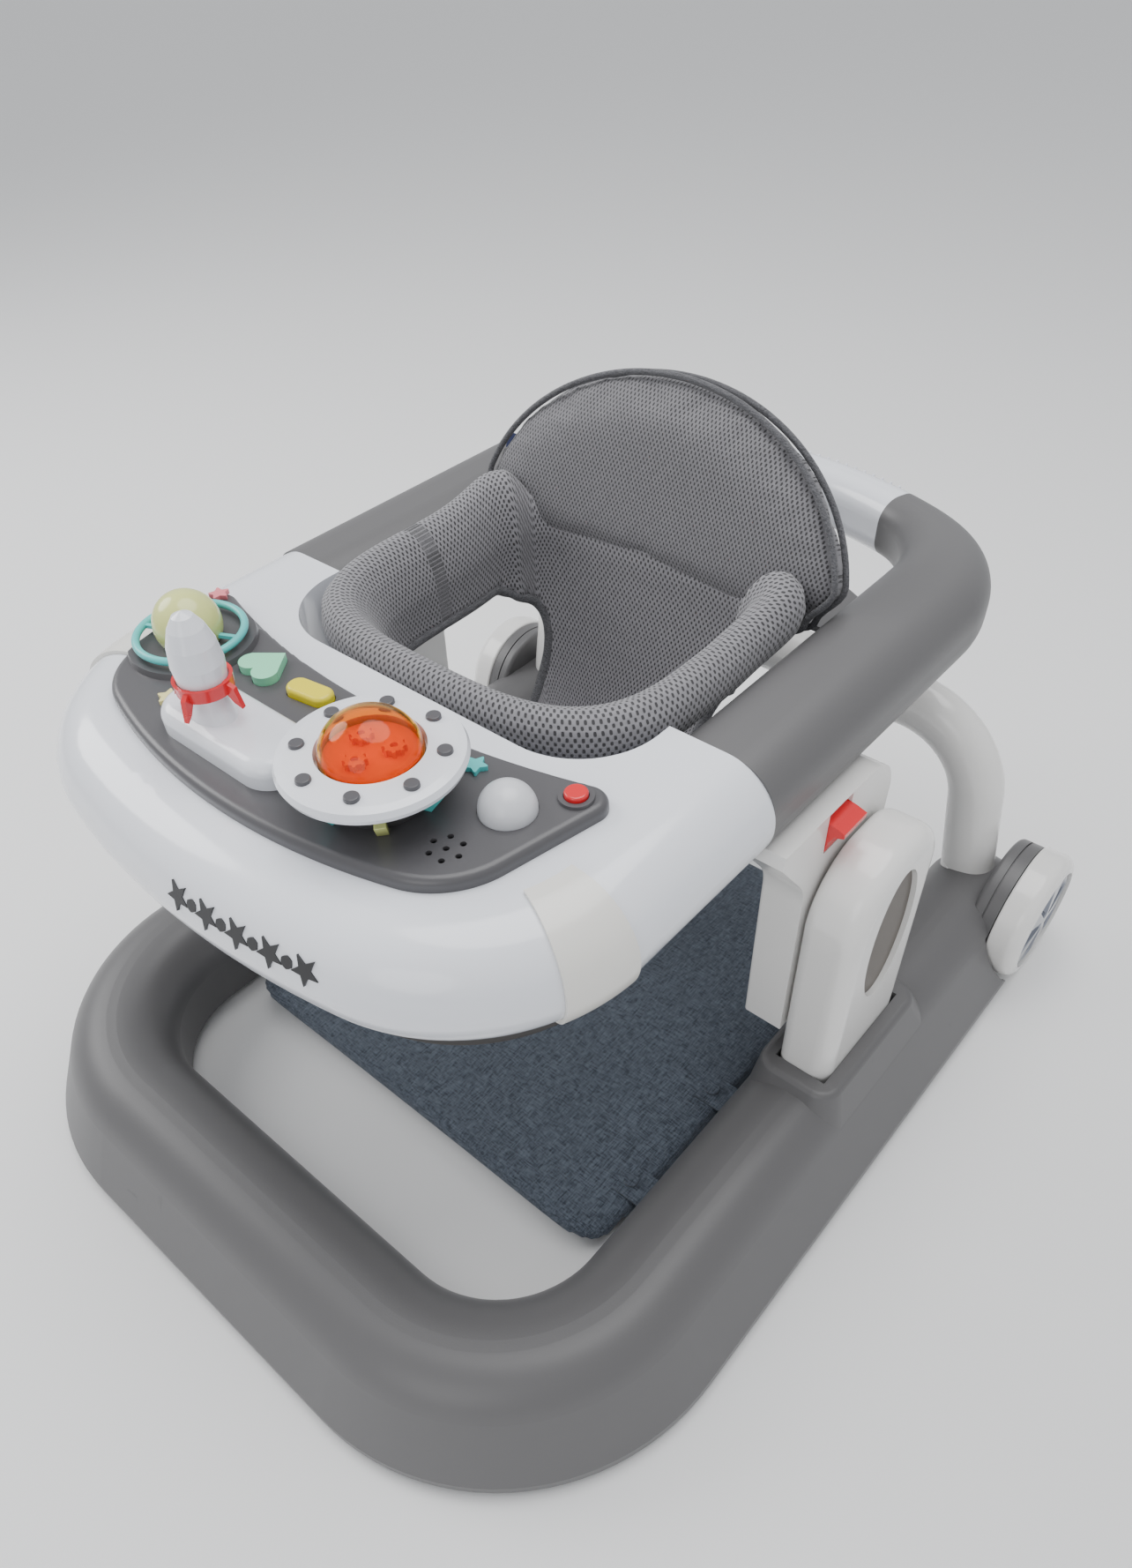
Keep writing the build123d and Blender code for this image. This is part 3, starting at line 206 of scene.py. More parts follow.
def air_mesh_group():
    """Staggered rows of small holes between threads, from two coordinates in metres."""
    tree, source, sink = new_group("air_mesh", "ShaderNodeTree", [
        ("Vector", "NodeSocketVector", None), ("Pitch", "NodeSocketFloat", 0.003)],
        [("Thread", "NodeSocketFloat"), ("Height", "NodeSocketFloat")])
    split = tree.nodes.new("ShaderNodeSeparateXYZ")
    tree.links.new(source.outputs["Vector"], split.inputs[0])
    waves = []
    for axis, stretch in (("X", 1.0), ("Y", 0.62)):
        turns = math_node(tree, "DIVIDE", split.outputs[axis], source.outputs["Pitch"])
        turns = math_node(tree, "MULTIPLY", turns, stretch * 2 * math.pi)
        waves.append(math_node(tree, "COSINE", turns))
    depth = math_node(tree, "MULTIPLY", waves[0], waves[1])
    thread = add(tree.nodes, "ShaderNodeMapRange", in_1=0.60, in_2=0.10, interpolation_type="SMOOTHSTEP")
    tree.links.new(depth, thread.inputs[0])
    tree.links.new(thread.outputs[0], sink.inputs["Thread"])
    tree.links.new(thread.outputs[0], sink.inputs["Height"])
    return tree


def heather_group():
    """Two crossed directions of uneven thread, for woven heather cloth."""
    tree, source, sink = new_group("heather_weave", "ShaderNodeTree", [
        ("Vector", "NodeSocketVector", None), ("Thread", "NodeSocketFloat", 0.0009)],
        [("Tone", "NodeSocketFloat"), ("Height", "NodeSocketFloat")])
    inverse = math_node(tree, "DIVIDE", 1.0, source.outputs["Thread"])
    parts = []
    for stretch in ((1.0, 0.10, 1.0), (0.12, 1.0, 1.0)):
        place = add(tree.nodes, "ShaderNodeMapping", in_Scale=stretch)
        tree.links.new(source.outputs["Vector"], place.inputs["Vector"])
        streak = add(tree.nodes, "ShaderNodeTexNoise", in_Detail=2.0, in_Roughness=0.6)
        tree.links.new(place.outputs[0], streak.inputs["Vector"])
        tree.links.new(inverse, streak.inputs["Scale"])
        parts.append(streak.outputs["Fac"])
    mixed = math_node(tree, "ADD", parts[0], parts[1])
    tone = add(tree.nodes, "ShaderNodeMapRange", in_1=0.78, in_2=1.24)
    tree.links.new(mixed, tone.inputs[0])
    tree.links.new(tone.outputs[0], sink.inputs["Tone"])
    tree.links.new(tone.outputs[0], sink.inputs["Height"])
    return tree


GROUPS = {}


def group(name):
    """A shared effect, built when it is first asked for."""
    makers = {"grain": grain_group, "air_mesh": air_mesh_group, "heather": heather_group}
    if name not in GROUPS:
        GROUPS[name] = makers[name]()
    return GROUPS[name]


# ---------------------------------------------------------------- materials
MATERIALS = {}


def start_material(name):
    """A new material with its nodes, links and main shader."""
    material = bpy.data.materials.new(name)
    material.use_nodes = True
    nodes = material.node_tree.nodes
    MATERIALS[name] = material
    return material, nodes, material.node_tree.links, nodes["Principled BSDF"]


def place_group(nodes, links, name, coordinates="Object"):
    """A shared effect inside a material, fed with coordinates."""
    node = nodes.new("ShaderNodeGroup")
    node.node_tree = group(name)
    where = nodes.new("ShaderNodeTexCoord")
    links.new(where.outputs[coordinates], node.inputs["Vector"])
    return node


def tinted(colour, share):
    return [c * share for c in colour]


def colour_between(nodes, links, factor, dark, light):
    mix = nodes.new("ShaderNodeMix")
    mix.data_type = "RGBA"
    mix.inputs["A"].default_value = (*dark, 1)
    mix.inputs["B"].default_value = (*light, 1)
    links.new(factor, mix.inputs["Factor"])
    return mix.outputs["Result"]


def bump(nodes, links, height, shader, strength, distance):
    node = add(nodes, "ShaderNodeBump", in_Strength=strength, in_Distance=distance)
    links.new(height, node.inputs["Height"])
    links.new(node.outputs["Normal"], shader.inputs["Normal"])


def moulded(name, colour, roughness=0.35, coat=0.0, drift=0.05, grain=0.25, scuff=0.10, subsurface=0.0):
    """Moulded plastic with grain, tone drift and a few scuffs."""
    if name in MATERIALS:
        return MATERIALS[name]
    material, nodes, links, shader = start_material(name)
    effect = place_group(nodes, links, "grain")
    dark = [c * (1 - drift) for c in colour]
    light = [min(1.0, c * (1 + drift)) for c in colour]
    links.new(colour_between(nodes, links, effect.outputs["Tone"], dark, light), shader.inputs["Base Color"])
    rough = add(nodes, "ShaderNodeMapRange", in_3=roughness, in_4=min(1.0, roughness + scuff))
    links.new(effect.outputs["Scuffs"], rough.inputs[0])
    links.new(rough.outputs[0], shader.inputs["Roughness"])
    bump(nodes, links, effect.outputs["Height"], shader, grain, 0.00012)
    shader.inputs["Coat Weight"].default_value = coat
    shader.inputs["Coat Roughness"].default_value = 0.08
    if subsurface:
        shader.inputs["Subsurface Weight"].default_value = subsurface
        shader.inputs["Subsurface Radius"].default_value = (0.004, 0.004, 0.004)
    return material


def air_mesh_material(name, dark, light, pitch, coordinates="UV", tilt=0.0):
    """Air mesh; with Object coordinates its rows lie on a plane tilted about X."""
    if name in MATERIALS:
        return MATERIALS[name]
    material, nodes, links, shader = start_material(name)
    effect = place_group(nodes, links, "air_mesh", coordinates)
    effect.inputs["Pitch"].default_value = pitch
    if tilt:
        lay = add(nodes, "ShaderNodeMapping", in_Rotation=(tilt, 0, 0))
        links.new(effect.inputs["Vector"].links[0].from_socket, lay.inputs["Vector"])
        links.new(lay.outputs[0], effect.inputs["Vector"])
    wear = place_group(nodes, links, "grain")
    wear.inputs["Grain"].default_value = 260.0
    ground = colour_between(nodes, links, wear.outputs["Tone"], tinted(dark, 0.8), tinted(dark, 1.2))
    thread = colour_between(nodes, links, wear.outputs["Height"], tinted(light, 0.78), tinted(light, 1.22))
    mix = nodes.new("ShaderNodeMix")
    mix.data_type = "RGBA"
    links.new(effect.outputs["Thread"], mix.inputs["Factor"])
    links.new(ground, mix.inputs["A"])
    links.new(thread, mix.inputs["B"])
    links.new(mix.outputs["Result"], shader.inputs["Base Color"])
    bump(nodes, links, effect.outputs["Height"], shader, 0.9, 0.0009)
    shader.inputs["Roughness"].default_value = 0.75
    shader.inputs["Sheen Weight"].default_value = 0.25
    shader.inputs["Sheen Roughness"].default_value = 0.5
    return material


def heather_material(name, dark, light, thread=0.0009):
    """Woven heather cloth."""
    if name in MATERIALS:
        return MATERIALS[name]
    material, nodes, links, shader = start_material(name)
    effect = place_group(nodes, links, "heather")
    effect.inputs["Thread"].default_value = thread
    links.new(colour_between(nodes, links, effect.outputs["Tone"], dark, light), shader.inputs["Base Color"])
    bump(nodes, links, effect.outputs["Height"], shader, 0.7, 0.0006)
    shader.inputs["Roughness"].default_value = 0.9
    shader.inputs["Sheen Weight"].default_value = 0.2
    return material


def chrome_material():
    """Dark polished metal of the hubcaps."""
    if "dark_chrome" in MATERIALS:
        return MATERIALS["dark_chrome"]
    material, nodes, links, shader = start_material("dark_chrome")
    effect = place_group(nodes, links, "grain")
    links.new(colour_between(nodes, links, effect.outputs["Tone"], (0.17, 0.18, 0.21), (0.26, 0.28, 0.33)),
              shader.inputs["Base Color"])
    rough = add(nodes, "ShaderNodeMapRange", in_3=0.07, in_4=0.22)
    links.new(effect.outputs["Scuffs"], rough.inputs[0])
    links.new(rough.outputs[0], shader.inputs["Roughness"])
    shader.inputs["Metallic"].default_value = 1.0
    return material


def steel_material():
    """Turned steel of the axles and screws."""
    if "turned_steel" in MATERIALS:
        return MATERIALS["turned_steel"]
    material, nodes, links, shader = start_material("turned_steel")
    effect = place_group(nodes, links, "grain")
    links.new(colour_between(nodes, links, effect.outputs["Tone"], (0.45, 0.45, 0.46), (0.6, 0.6, 0.6)),
              shader.inputs["Base Color"])
    bump(nodes, links, effect.outputs["Height"], shader, 0.2, 0.0001)
    shader.inputs["Metallic"].default_value = 1.0
    shader.inputs["Roughness"].default_value = 0.32
    return material


def clear_orange_material():
    """Clear tinted plastic of the dome."""
    if "orange_clear" in MATERIALS:
        return MATERIALS["orange_clear"]
    material, nodes, links, shader = start_material("orange_clear")
    shader.inputs["Base Color"].default_value = (1.0, 0.45, 0.03, 1)
    shader.inputs["Transmission Weight"].default_value = 1.0
    shader.inputs["Roughness"].default_value = 0.03
    shader.inputs["IOR"].default_value = 1.3
    effect = place_group(nodes, links, "grain")
    effect.inputs["Grain"].default_value = 60.0
    bump(nodes, links, effect.outputs["Height"], shader, 0.05, 0.0002)
    return material


def finish_nodes():
    """Finishes of the nodes that keep their own shape."""
    shells = bpy.context.scene.walker_shells
    fabric = bpy.context.scene.walker_fabric
    grey = moulded("grey_satin", shells.grey, 0.42, drift=0.04, grain=0.5, scuff=0.12)
    white = moulded("white_gloss", shells.white, 0.16, coat=0.4, drift=0.012, grain=0.04, scuff=0.06)
    warm = moulded("warm_white_gloss", shells.warm_white, 0.20, coat=0.3, drift=0.015, grain=0.05, scuff=0.06)
    clip = moulded("clip_white", (0.78, 0.765, 0.72), 0.25, coat=0.2, drift=0.02, grain=0.08)
    dark = moulded("dark_pan", (0.030, 0.027, 0.026), 0.55, drift=0.1, grain=0.6)
    # painted shade: the column insets are given the dark brown that the white column plastic shows in shade
    inset = moulded("taupe_inset", (0.085, 0.070, 0.055), 0.45, drift=0.06, grain=1.0)
    panel = moulded("panel_satin", shells.panel, 0.33, drift=0.05, grain=0.3, scuff=0.12)
    red = moulded("red_gloss", (0.70, 0.012, 0.018), 0.22, coat=0.3, drift=0.05, grain=0.1)
    mint = moulded("mint_soft", (0.27, 0.74, 0.47), 0.36, drift=0.03, subsurface=0.1)
    yellow = moulded("yellow_soft", (0.78, 0.66, 0.02), 0.32, drift=0.03, subsurface=0.1)
    lime = moulded("lime_gloss", (0.66, 0.70, 0.25), 0.2, coat=0.3, drift=0.03, grain=0.06)
    turquoise = moulded("turquoise_soft", (0.10, 0.56, 0.55), 0.3, drift=0.04, grain=0.15)
    lamp = moulded("lamp_frost", (0.66, 0.67, 0.70), 0.28, coat=0.2, drift=0.02, subsurface=0.3)
    black = moulded("black_moulded", (0.012, 0.012, 0.013), 0.5, drift=0.2, grain=0.6)
    caster = moulded("caster_grey", (0.05, 0.05, 0.053), 0.5, drift=0.1, grain=0.5)
    rubber = moulded("rubber_matt", (0.020, 0.020, 0.021), 0.75, drift=0.15, grain=1.0)
    board = moulded("board_lacquer", (0.012, 0.13, 0.045), 0.3, drift=0.2, grain=0.4)
    finishes = {
        grey: ["base_shell", "arm_left", "arm_right", "rear_deck"],
        white: ["tray_shell", "rear_grip", "rocket_pedestal", "rocket", "ufo_saucer"],
        warm: ["column_left", "column_right", "slider_left", "slider_right", "rear_arch", "wheel_rim_left",
               "wheel_rim_right"],
        clip: ["tray_clips"],
        dark: ["base_underside", "ring_lower_shell", "battery_box"],
        inset: ["column_insets"],
        panel: ["toy_panel", "ufo_cone"],
        red: ["latch_left", "latch_right", "rocket_fins", "power_button"],
        mint: ["heart_button"],
        yellow: ["yellow_button"],
        lime: ["planet"],
        turquoise: ["planet_ring", "ufo_ribs", "stars"],
        lamp: ["lamp_dome"],
        black: ["speaker"] + [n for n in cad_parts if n.startswith("caster_wheel")],
        caster: [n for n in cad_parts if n.startswith("caster_fork")],
        rubber: ["stop_pads"],
        board: ["circuit_board"],
        steel_material(): ["rear_axles", "base_screws", "tray_screws"],
        chrome_material(): ["hubcap_left", "hubcap_right"],
        clear_orange_material(): ["ufo_dome"],
        moulded("orange_floor", (0.90, 0.26, 0.015), 0.3, drift=0.1): ["ufo_gears"],
        moulded("dot_grey", (0.085, 0.083, 0.09), 0.28, drift=0.05): ["ufo_dots"],
        moulded("label_navy", (0.010, 0.018, 0.075), 0.7, drift=0.1, grain=1.0): ["seat_label"],
        air_mesh_material("mesh_plain", fabric.mesh_dark, fabric.mesh_light, fabric.mesh_pitch, "Object"):
            ["seat_rim", "seat_back", "seat_sling"],
        heather_material("mat_heather", fabric.mat_dark, fabric.mat_light): ["foot_mat", "mat_straps"],
    }
    for material, names in finishes.items():
        for name in names:
            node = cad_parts[name]
            node.data.materials.clear()
            node.data.materials.append(material)


# ---------------------------------------------------------------- mesh helpers
def make_piece(name, points, faces, material, body, uvs=None):
    """A smooth mesh object that rides on a body; uvs is one pair per point."""
    mesh = bpy.data.meshes.new(name)
    mesh.from_pydata([tuple(p) for p in points], [], faces)
    mesh.validate()
    for polygon in mesh.polygons:
        polygon.use_smooth = True
    if uvs is not None:
        layer = mesh.uv_layers.new(name="weave")
        for loop in mesh.loops:
            layer.data[loop.index].uv = uvs[loop.vertex_index]
    mesh.materials.append(material)
    piece = bpy.data.objects.new(name, mesh)
    bpy.context.scene.collection.objects.link(piece)
    if body:
        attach(piece, body)
    return piece


def outward(piece):
    """Merges doubles and turns all faces outwards."""
    shape = bmesh.new()
    shape.from_mesh(piece.data)
    bmesh.ops.remove_doubles(shape, verts=shape.verts, dist=1e-5)
    turn_outward(shape, piece.data)


def turn_outward(shape, mesh):
    """Turns the faces of an edited shape outwards and gives it back to its mesh."""
    bmesh.ops.recalc_face_normals(shape, faces=shape.faces)
    shape.to_mesh(mesh)
    shape.free()


def apply_modifiers(piece):
    """Makes the evaluated shape the piece's own mesh."""
    graph = bpy.context.evaluated_depsgraph_get()
    mesh = bpy.data.meshes.new_from_object(piece.evaluated_get(graph))
    piece.modifiers.clear()
    piece.data = mesh


def subdivide(piece, levels=1):
    modifier = piece.modifiers.new("finer", "SUBSURF")
    modifier.levels = levels
    modifier.render_levels = levels
    apply_modifiers(piece)


def tube(name, points, radius, material, body, closed=False, sides=10):
    """A round tube along a run of points."""
    points = [Vector(p) for p in points]
    count = len(points)
    rings = []
    normal = None
    for i, point in enumerate(points):
        after = points[(i + 1) % count] if closed else points[min(i + 1, count - 1)]
        before = points[i - 1] if closed or i else points[0]
        along = (after - before).normalized()
        if normal is None:
            normal = along.orthogonal().normalized()
        normal = (normal - along * normal.dot(along)).normalized()
        side = along.cross(normal)
        rings.append([point + (normal * math.cos(a) + side * math.sin(a)) * radius
                      for a in (2 * math.pi * k / sides for k in range(sides))])
    verts = [p for ring in rings for p in ring]
    faces = []
    for i in range(count if closed else count - 1):
        j = (i + 1) % count
        for k in range(sides):
            m = (k + 1) % sides
            faces.append((i * sides + k, i * sides + m, j * sides + m, j * sides + k))
    if not closed:
        faces.append(tuple(range(sides - 1, -1, -1)))
        faces.append(tuple((count - 1) * sides + k for k in range(sides)))
    piece = make_piece(name, verts, faces, material, body)
    outward(piece)
    return piece


def pad_faces(turns, rings):
    """Quads of a two-sided pad whose sides each have rings of turns points, joined at the outer ring."""
    half = rings * turns
    faces = []
    for offset, flip in ((0, False), (half, True)):
        for ring in range(rings - 1):
            for turn in range(turns):
                after = (turn + 1) % turns
                quad = (offset + ring * turns + turn, offset + (ring + 1) * turns + turn,
                        offset + (ring + 1) * turns + after, offset + ring * turns + after)
                faces.append(quad[::-1] if flip else quad)
    edge = (rings - 1) * turns
    for turn in range(turns):
        after = (turn + 1) % turns
        faces.append((edge + turn, half + edge + turn, half + edge + after, edge + after))
    return faces


SWELL_FRAMES = 14


def swell(piece, cap, voxel=0.005, pressure=4.0):
    """Blows the padding up a little with a cloth simulation, never further than cap."""
    material = piece.data.materials[0]
    remesh = piece.modifiers.new("even", "REMESH")
    remesh.mode = "VOXEL"
    remesh.voxel_size = voxel
    apply_modifiers(piece)
    rest = np.array([v.co for v in piece.data.vertices])
    cloth = piece.modifiers.new("pressure", "CLOTH")
    cloth.settings.use_pressure = True
    cloth.settings.uniform_pressure_force = pressure
    cloth.settings.effector_weights.gravity = 0
    cloth.settings.quality = 6
    cloth.settings.tension_stiffness = 30
    cloth.settings.compression_stiffness = 30
    for step in range(1, SWELL_FRAMES + 1):
        bpy.context.scene.frame_set(step)
    graph = bpy.context.evaluated_depsgraph_get()
    moved = np.array([v.co for v in piece.evaluated_get(graph).data.vertices])
    piece.modifiers.clear()
    bpy.context.scene.frame_set(1)
    shift = moved - rest
    length = np.linalg.norm(shift, axis=1, keepdims=True)
    limit = cap * np.tanh(length / cap) / np.maximum(length, 1e-9)
    piece.data.vertices.foreach_set("co", (rest + shift * limit).ravel())
    for polygon in piece.data.polygons:
        polygon.use_smooth = True
    subdivide(piece)
    piece.data.materials.clear()
    piece.data.materials.append(material)


# ---------------------------------------------------------------- repeats by geometry nodes
def bead_tree():
    """Small rounded beads set along a line, one every Spacing."""
    tree, source, sink = new_group("beads_along", "GeometryNodeTree", [
        ("Line", "NodeSocketGeometry", None), ("Spacing", "NodeSocketFloat", 0.005),
        ("Bead", "NodeSocketVector", (0.001, 0.001, 0.002)), ("Material", "NodeSocketMaterial", None)],
        [("Geometry", "NodeSocketGeometry")])
    nodes, links = tree.nodes, tree.links
    curve = nodes.new("GeometryNodeMeshToCurve")
    spread = add(nodes, "GeometryNodeCurveToPoints", mode="LENGTH")
    ball = add(nodes, "GeometryNodeMeshUVSphere", in_Segments=8, in_Rings=6, in_Radius=1.0)
    smooth = nodes.new("GeometryNodeSetShadeSmooth")
    place = nodes.new("GeometryNodeInstanceOnPoints")
    real = nodes.new("GeometryNodeRealizeInstances")
    paint = nodes.new("GeometryNodeSetMaterial")
    links.new(source.outputs["Line"], curve.inputs["Mesh"])
    links.new(curve.outputs[0], spread.inputs["Curve"])
    links.new(source.outputs["Spacing"], spread.inputs["Length"])
    links.new(spread.outputs["Points"], place.inputs["Points"])
    links.new(spread.outputs["Rotation"], place.inputs["Rotation"])
    links.new(ball.outputs["Mesh"], smooth.inputs[0])
    links.new(smooth.outputs[0], place.inputs["Instance"])
    links.new(source.outputs["Bead"], place.inputs["Scale"])
    links.new(place.outputs["Instances"], real.inputs[0])
    links.new(real.outputs[0], paint.inputs["Geometry"])
    links.new(source.outputs["Material"], paint.inputs["Material"])
    links.new(paint.outputs[0], sink.inputs["Geometry"])
    return tree


def beads(name, runs, spacing, bead, material, body):
    """Beads along each run of points, as one plain mesh that rides on a body."""
    if "beads" not in GROUPS:
        GROUPS["beads"] = bead_tree()
    tree = GROUPS["beads"]
    points, edges = [], []
    for run in runs:
        first = len(points)
        points += [tuple(p) for p in run]
        edges += [(i, i + 1) for i in range(first, len(points) - 1)]
    mesh = bpy.data.meshes.new(name)
    mesh.from_pydata(points, edges, [])
    piece = bpy.data.objects.new(name, mesh)
    bpy.context.scene.collection.objects.link(piece)
    modifier = piece.modifiers.new("beads", "NODES")
    modifier.node_group = tree
    sockets = {s.name: s.identifier for s in tree.interface.items_tree if s.in_out == "INPUT"}
    modifier[sockets["Spacing"]] = spacing
    modifier[sockets["Bead"]] = bead
    modifier[sockets["Material"]] = material
    apply_modifiers(piece)
    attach(piece, body)
    return piece


# ---------------------------------------------------------------- seat
def smooth_step(value, low, high):
    t = min(1.0, max(0.0, (value - low) / (high - low)))
    return t * t * (3 - 2 * t)


SEAT_HALF_X = (RIM_HIGH.x - RIM_LOW.x) / 2 - 0.016
SEAT_FRONT = RIM_LOW.y + 0.016
SEAT_REAR = BACK_LOW.y - 0.005
SEAT_TOP = RIM_HIGH.z - 0.011
SEAT_DEPTH = 0.1652
# From the outside of the padded roll, over it and down the bucket: share of the outline's reach, drop.
SEAT_PROFILE = [
    (1.060, -0.016), (1.100, -0.009), (1.112, 0.000), (1.098, 0.010), (1.060, 0.016), (1.010, 0.0175),
    (0.955, 0.014), (0.905, 0.005), (0.870, -0.008), (0.852, -0.020), (0.852, -0.028), (0.850, -0.046),
    (0.832, -0.066), (0.796, -0.088), (0.742, -0.108), (0.664, -0.127), (0.566, -0.142), (0.450, -0.153),
    (0.320, -0.160), (0.180, -0.164), (0.060, -0.165),
]
SEAT_TURNS = 192
ROW_STEPS = 3
ROLL_ROWS = 10
WEAVE_SHARE = 0.93
HOLE_ROW = 13.9
HOLE_SPREAD, HOLE_ROWS = math.radians(66.0), 2.5
HOLE_DROP = 0.03
HOLE_SMOOTHING = 12


def seat_outline(angle):
    """Point of the opening's rounded outline at an angle, on the middle of the padded rim."""
    c, s = math.cos(angle), math.sin(angle)
    power = 0.62 - 0.17 * smooth_step(s, 0.0, 0.5)
    half_y = (SEAT_REAR - SEAT_FRONT) / 2
    widen = 1 + 0.10 * smooth_step(s, 0.1, 0.7)
    x = SEAT_HALF_X * widen * math.copysign(abs(c) ** power, c)
    y = (SEAT_REAR + SEAT_FRONT) / 2 + half_y * math.copysign(abs(s) ** power, s)
    return Vector((x, y, 0))


def seat_point(angle, row):
    """Point of the bucket's surface; row runs down SEAT_PROFILE, whose padded roll fades out at the rear."""
    index = min(int(row), len(SEAT_PROFILE) - 2)
    share = row - index
    reach = SEAT_PROFILE[index][0] * (1 - share) + SEAT_PROFILE[index + 1][0] * share
    drop = SEAT_PROFILE[index][1] * (1 - share) + SEAT_PROFILE[index + 1][1] * share
    rear = smooth_step(math.sin(angle), 0.72, 0.95)
    if row < ROLL_ROWS:
        rise = (ROLL_ROWS - row) / ROLL_ROWS
        rear_reach, rear_drop = 1.0 + 0.05 * rise, 0.030 * rise - 0.011
    else:
        fall = (row - ROLL_ROWS) / (len(SEAT_PROFILE) - 1 - ROLL_ROWS)
        rear_reach, rear_drop = reach / SEAT_PROFILE[ROLL_ROWS][0], drop + 0.017 * (1 - fall)
    reach += (rear_reach - reach) * rear
    drop += (rear_drop - drop) * rear
    edge = seat_outline(angle)
    centre = Vector((0, SEAT_MIDDLE_Y, 0))
    flat = centre + (edge - centre) * reach
    upper = smooth_step(-row, -14.0, -6.0)
    lift = 0.012 * smooth_step(math.sin(angle), 0.0, 0.75) * (1 - rear) * upper
    return Vector((flat.x, flat.y, SEAT_TOP + drop + lift))


def bucket_grid():
    """Points, faces and weave coordinates of the bucket, with its two leg holes left open."""
    rows = (len(SEAT_PROFILE) - 1) * ROW_STEPS + 1
    points, uvs, hole_reach = [], [], []
    around = 0.0
    edge = seat_outline(-math.pi)
    for turn in range(SEAT_TURNS):
        angle = 2 * math.pi * turn / SEAT_TURNS - math.pi
        around += (seat_outline(angle) - edge).length
        edge = seat_outline(angle)
        from_side = angle if abs(angle) < math.pi / 2 else math.copysign(math.pi, angle) - angle
        length = 0.0
        last = seat_point(angle, 0)
        for k in range(rows):
            row = k / ROW_STEPS
            point = seat_point(angle, row)
            length += (point - last).length
            last = point
            points.append(point)
            uvs.append((around * WEAVE_SHARE, length))
            hole_reach.append(math.hypot(from_side / HOLE_SPREAD, (row - HOLE_ROW) / HOLE_ROWS))
    faces = []
    for turn in range(SEAT_TURNS):
        after = (turn + 1) % SEAT_TURNS
        for k in range(rows - 1):
            corners = (turn * rows + k, turn * rows + k + 1, after * rows + k + 1, after * rows + k)
            if min(hole_reach[c] for c in corners) >= 1.0:
                faces.append(corners)
    centre = len(points)
    points.append(Vector((0, SEAT_MIDDLE_Y, SEAT_TOP - SEAT_DEPTH)))
    uvs.append((0, 0.3))
    for turn in range(SEAT_TURNS):
        after = (turn + 1) % SEAT_TURNS
        faces.append((turn * rows + rows - 1, centre, after * rows + rows - 1))
    return points, faces, uvs


def even_leg_holes(bucket):
    """Evens out the edges of the leg holes, and returns each as a run of points."""
    shape = bmesh.new()
    shape.from_mesh(bucket.data)
    loose = [v for v in shape.verts if not v.link_faces]
    bmesh.ops.delete(shape, geom=loose, context="VERTS")
    shape.verts.index_update()
    hole_verts = [v for v in shape.verts if v.is_boundary and v.co.z < RIM_HIGH.z - HOLE_DROP]
    for _ in range(HOLE_SMOOTHING):
        moves = {}
        for v in hole_verts:
            beside = [e.other_vert(v).co for e in v.link_edges if e.is_boundary]
            if len(beside) == 2:
                moves[v] = v.co.lerp((beside[0] + beside[1]) / 2, 0.5)
        for v, co in moves.items():
            v.co = co
    loops = boundary_loops(hole_verts)
    turn_outward(shape, bucket.data)
    return loops


def seat_bucket(material, binding):
    """Padded rim and bucket in one fabric surface, with bound leg holes."""
    points, faces, uvs = bucket_grid()
    bucket = make_piece("seat_bucket", points, faces, material, None, uvs)
    loops = even_leg_holes(bucket)
    wall = bucket.modifiers.new("wall", "SOLIDIFY")
    wall.thickness = 0.0045
    wall.offset = 0
    wall.use_even_offset = False
    apply_modifiers(bucket)
    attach(bucket, "tray")
    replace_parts(bucket, "seat_rim", "seat_sling")
    for index, loop in enumerate(loops):
        edge = tube(f"leg_hole_binding_{index}", loop, 0.0042, binding, "tray", closed=True)


def boundary_loops(verts):
    """Ordered runs of points round each open hole, in the order of the verts."""
    left = dict.fromkeys(verts)
    loops = []
    while left:
        here = next(iter(left))
        run = []
        while here is not None:
            del left[here]
            run.append(here.co.copy())
            beside = [e.other_vert(here) for e in here.link_edges if e.is_boundary]
            here = next((v for v in beside if v in left), None)
        if len(run) > 20:
            loops.append(run)
    return loops


def back_frame():
    """Origin and axes of the backrest: across, up its lean, and out of its front."""
    across = Vector((1, 0, 0))
    up = Vector((0, math.sin(BACK_LEAN), math.cos(BACK_LEAN)))
    out = Vector((0, -math.cos(BACK_LEAN), math.sin(BACK_LEAN)))
    return Vector((0, BACK_LOW.y - 0.003, RIM_HIGH.z - 0.0215)), across, up, out


def back_outline(angle):
    """Outline of the backrest in its own plane: a half-round top drawn in between the arms at its foot."""
    c, s = math.cos(angle), math.sin(angle)
    if s >= 0:
        u, v = BACK_HALF * c, BACK_RISE * s
    else:
        u, v = BACK_HALF * math.copysign(abs(c) ** 0.35, c), 0.014 * s
    return u * (1 - 0.12 * (1 - smooth_step(v, 0.0, 0.030))), v


def back_place(u, v, forward):
    """Point u across, v up and forward of the backrest's front plane, which wraps in at its sides."""
    origin, across, up, out = back_frame()
    wrap = BACK_WRAP * (u / BACK_HALF) ** 2
    return origin + across * u + up * v + out * (forward + wrap)


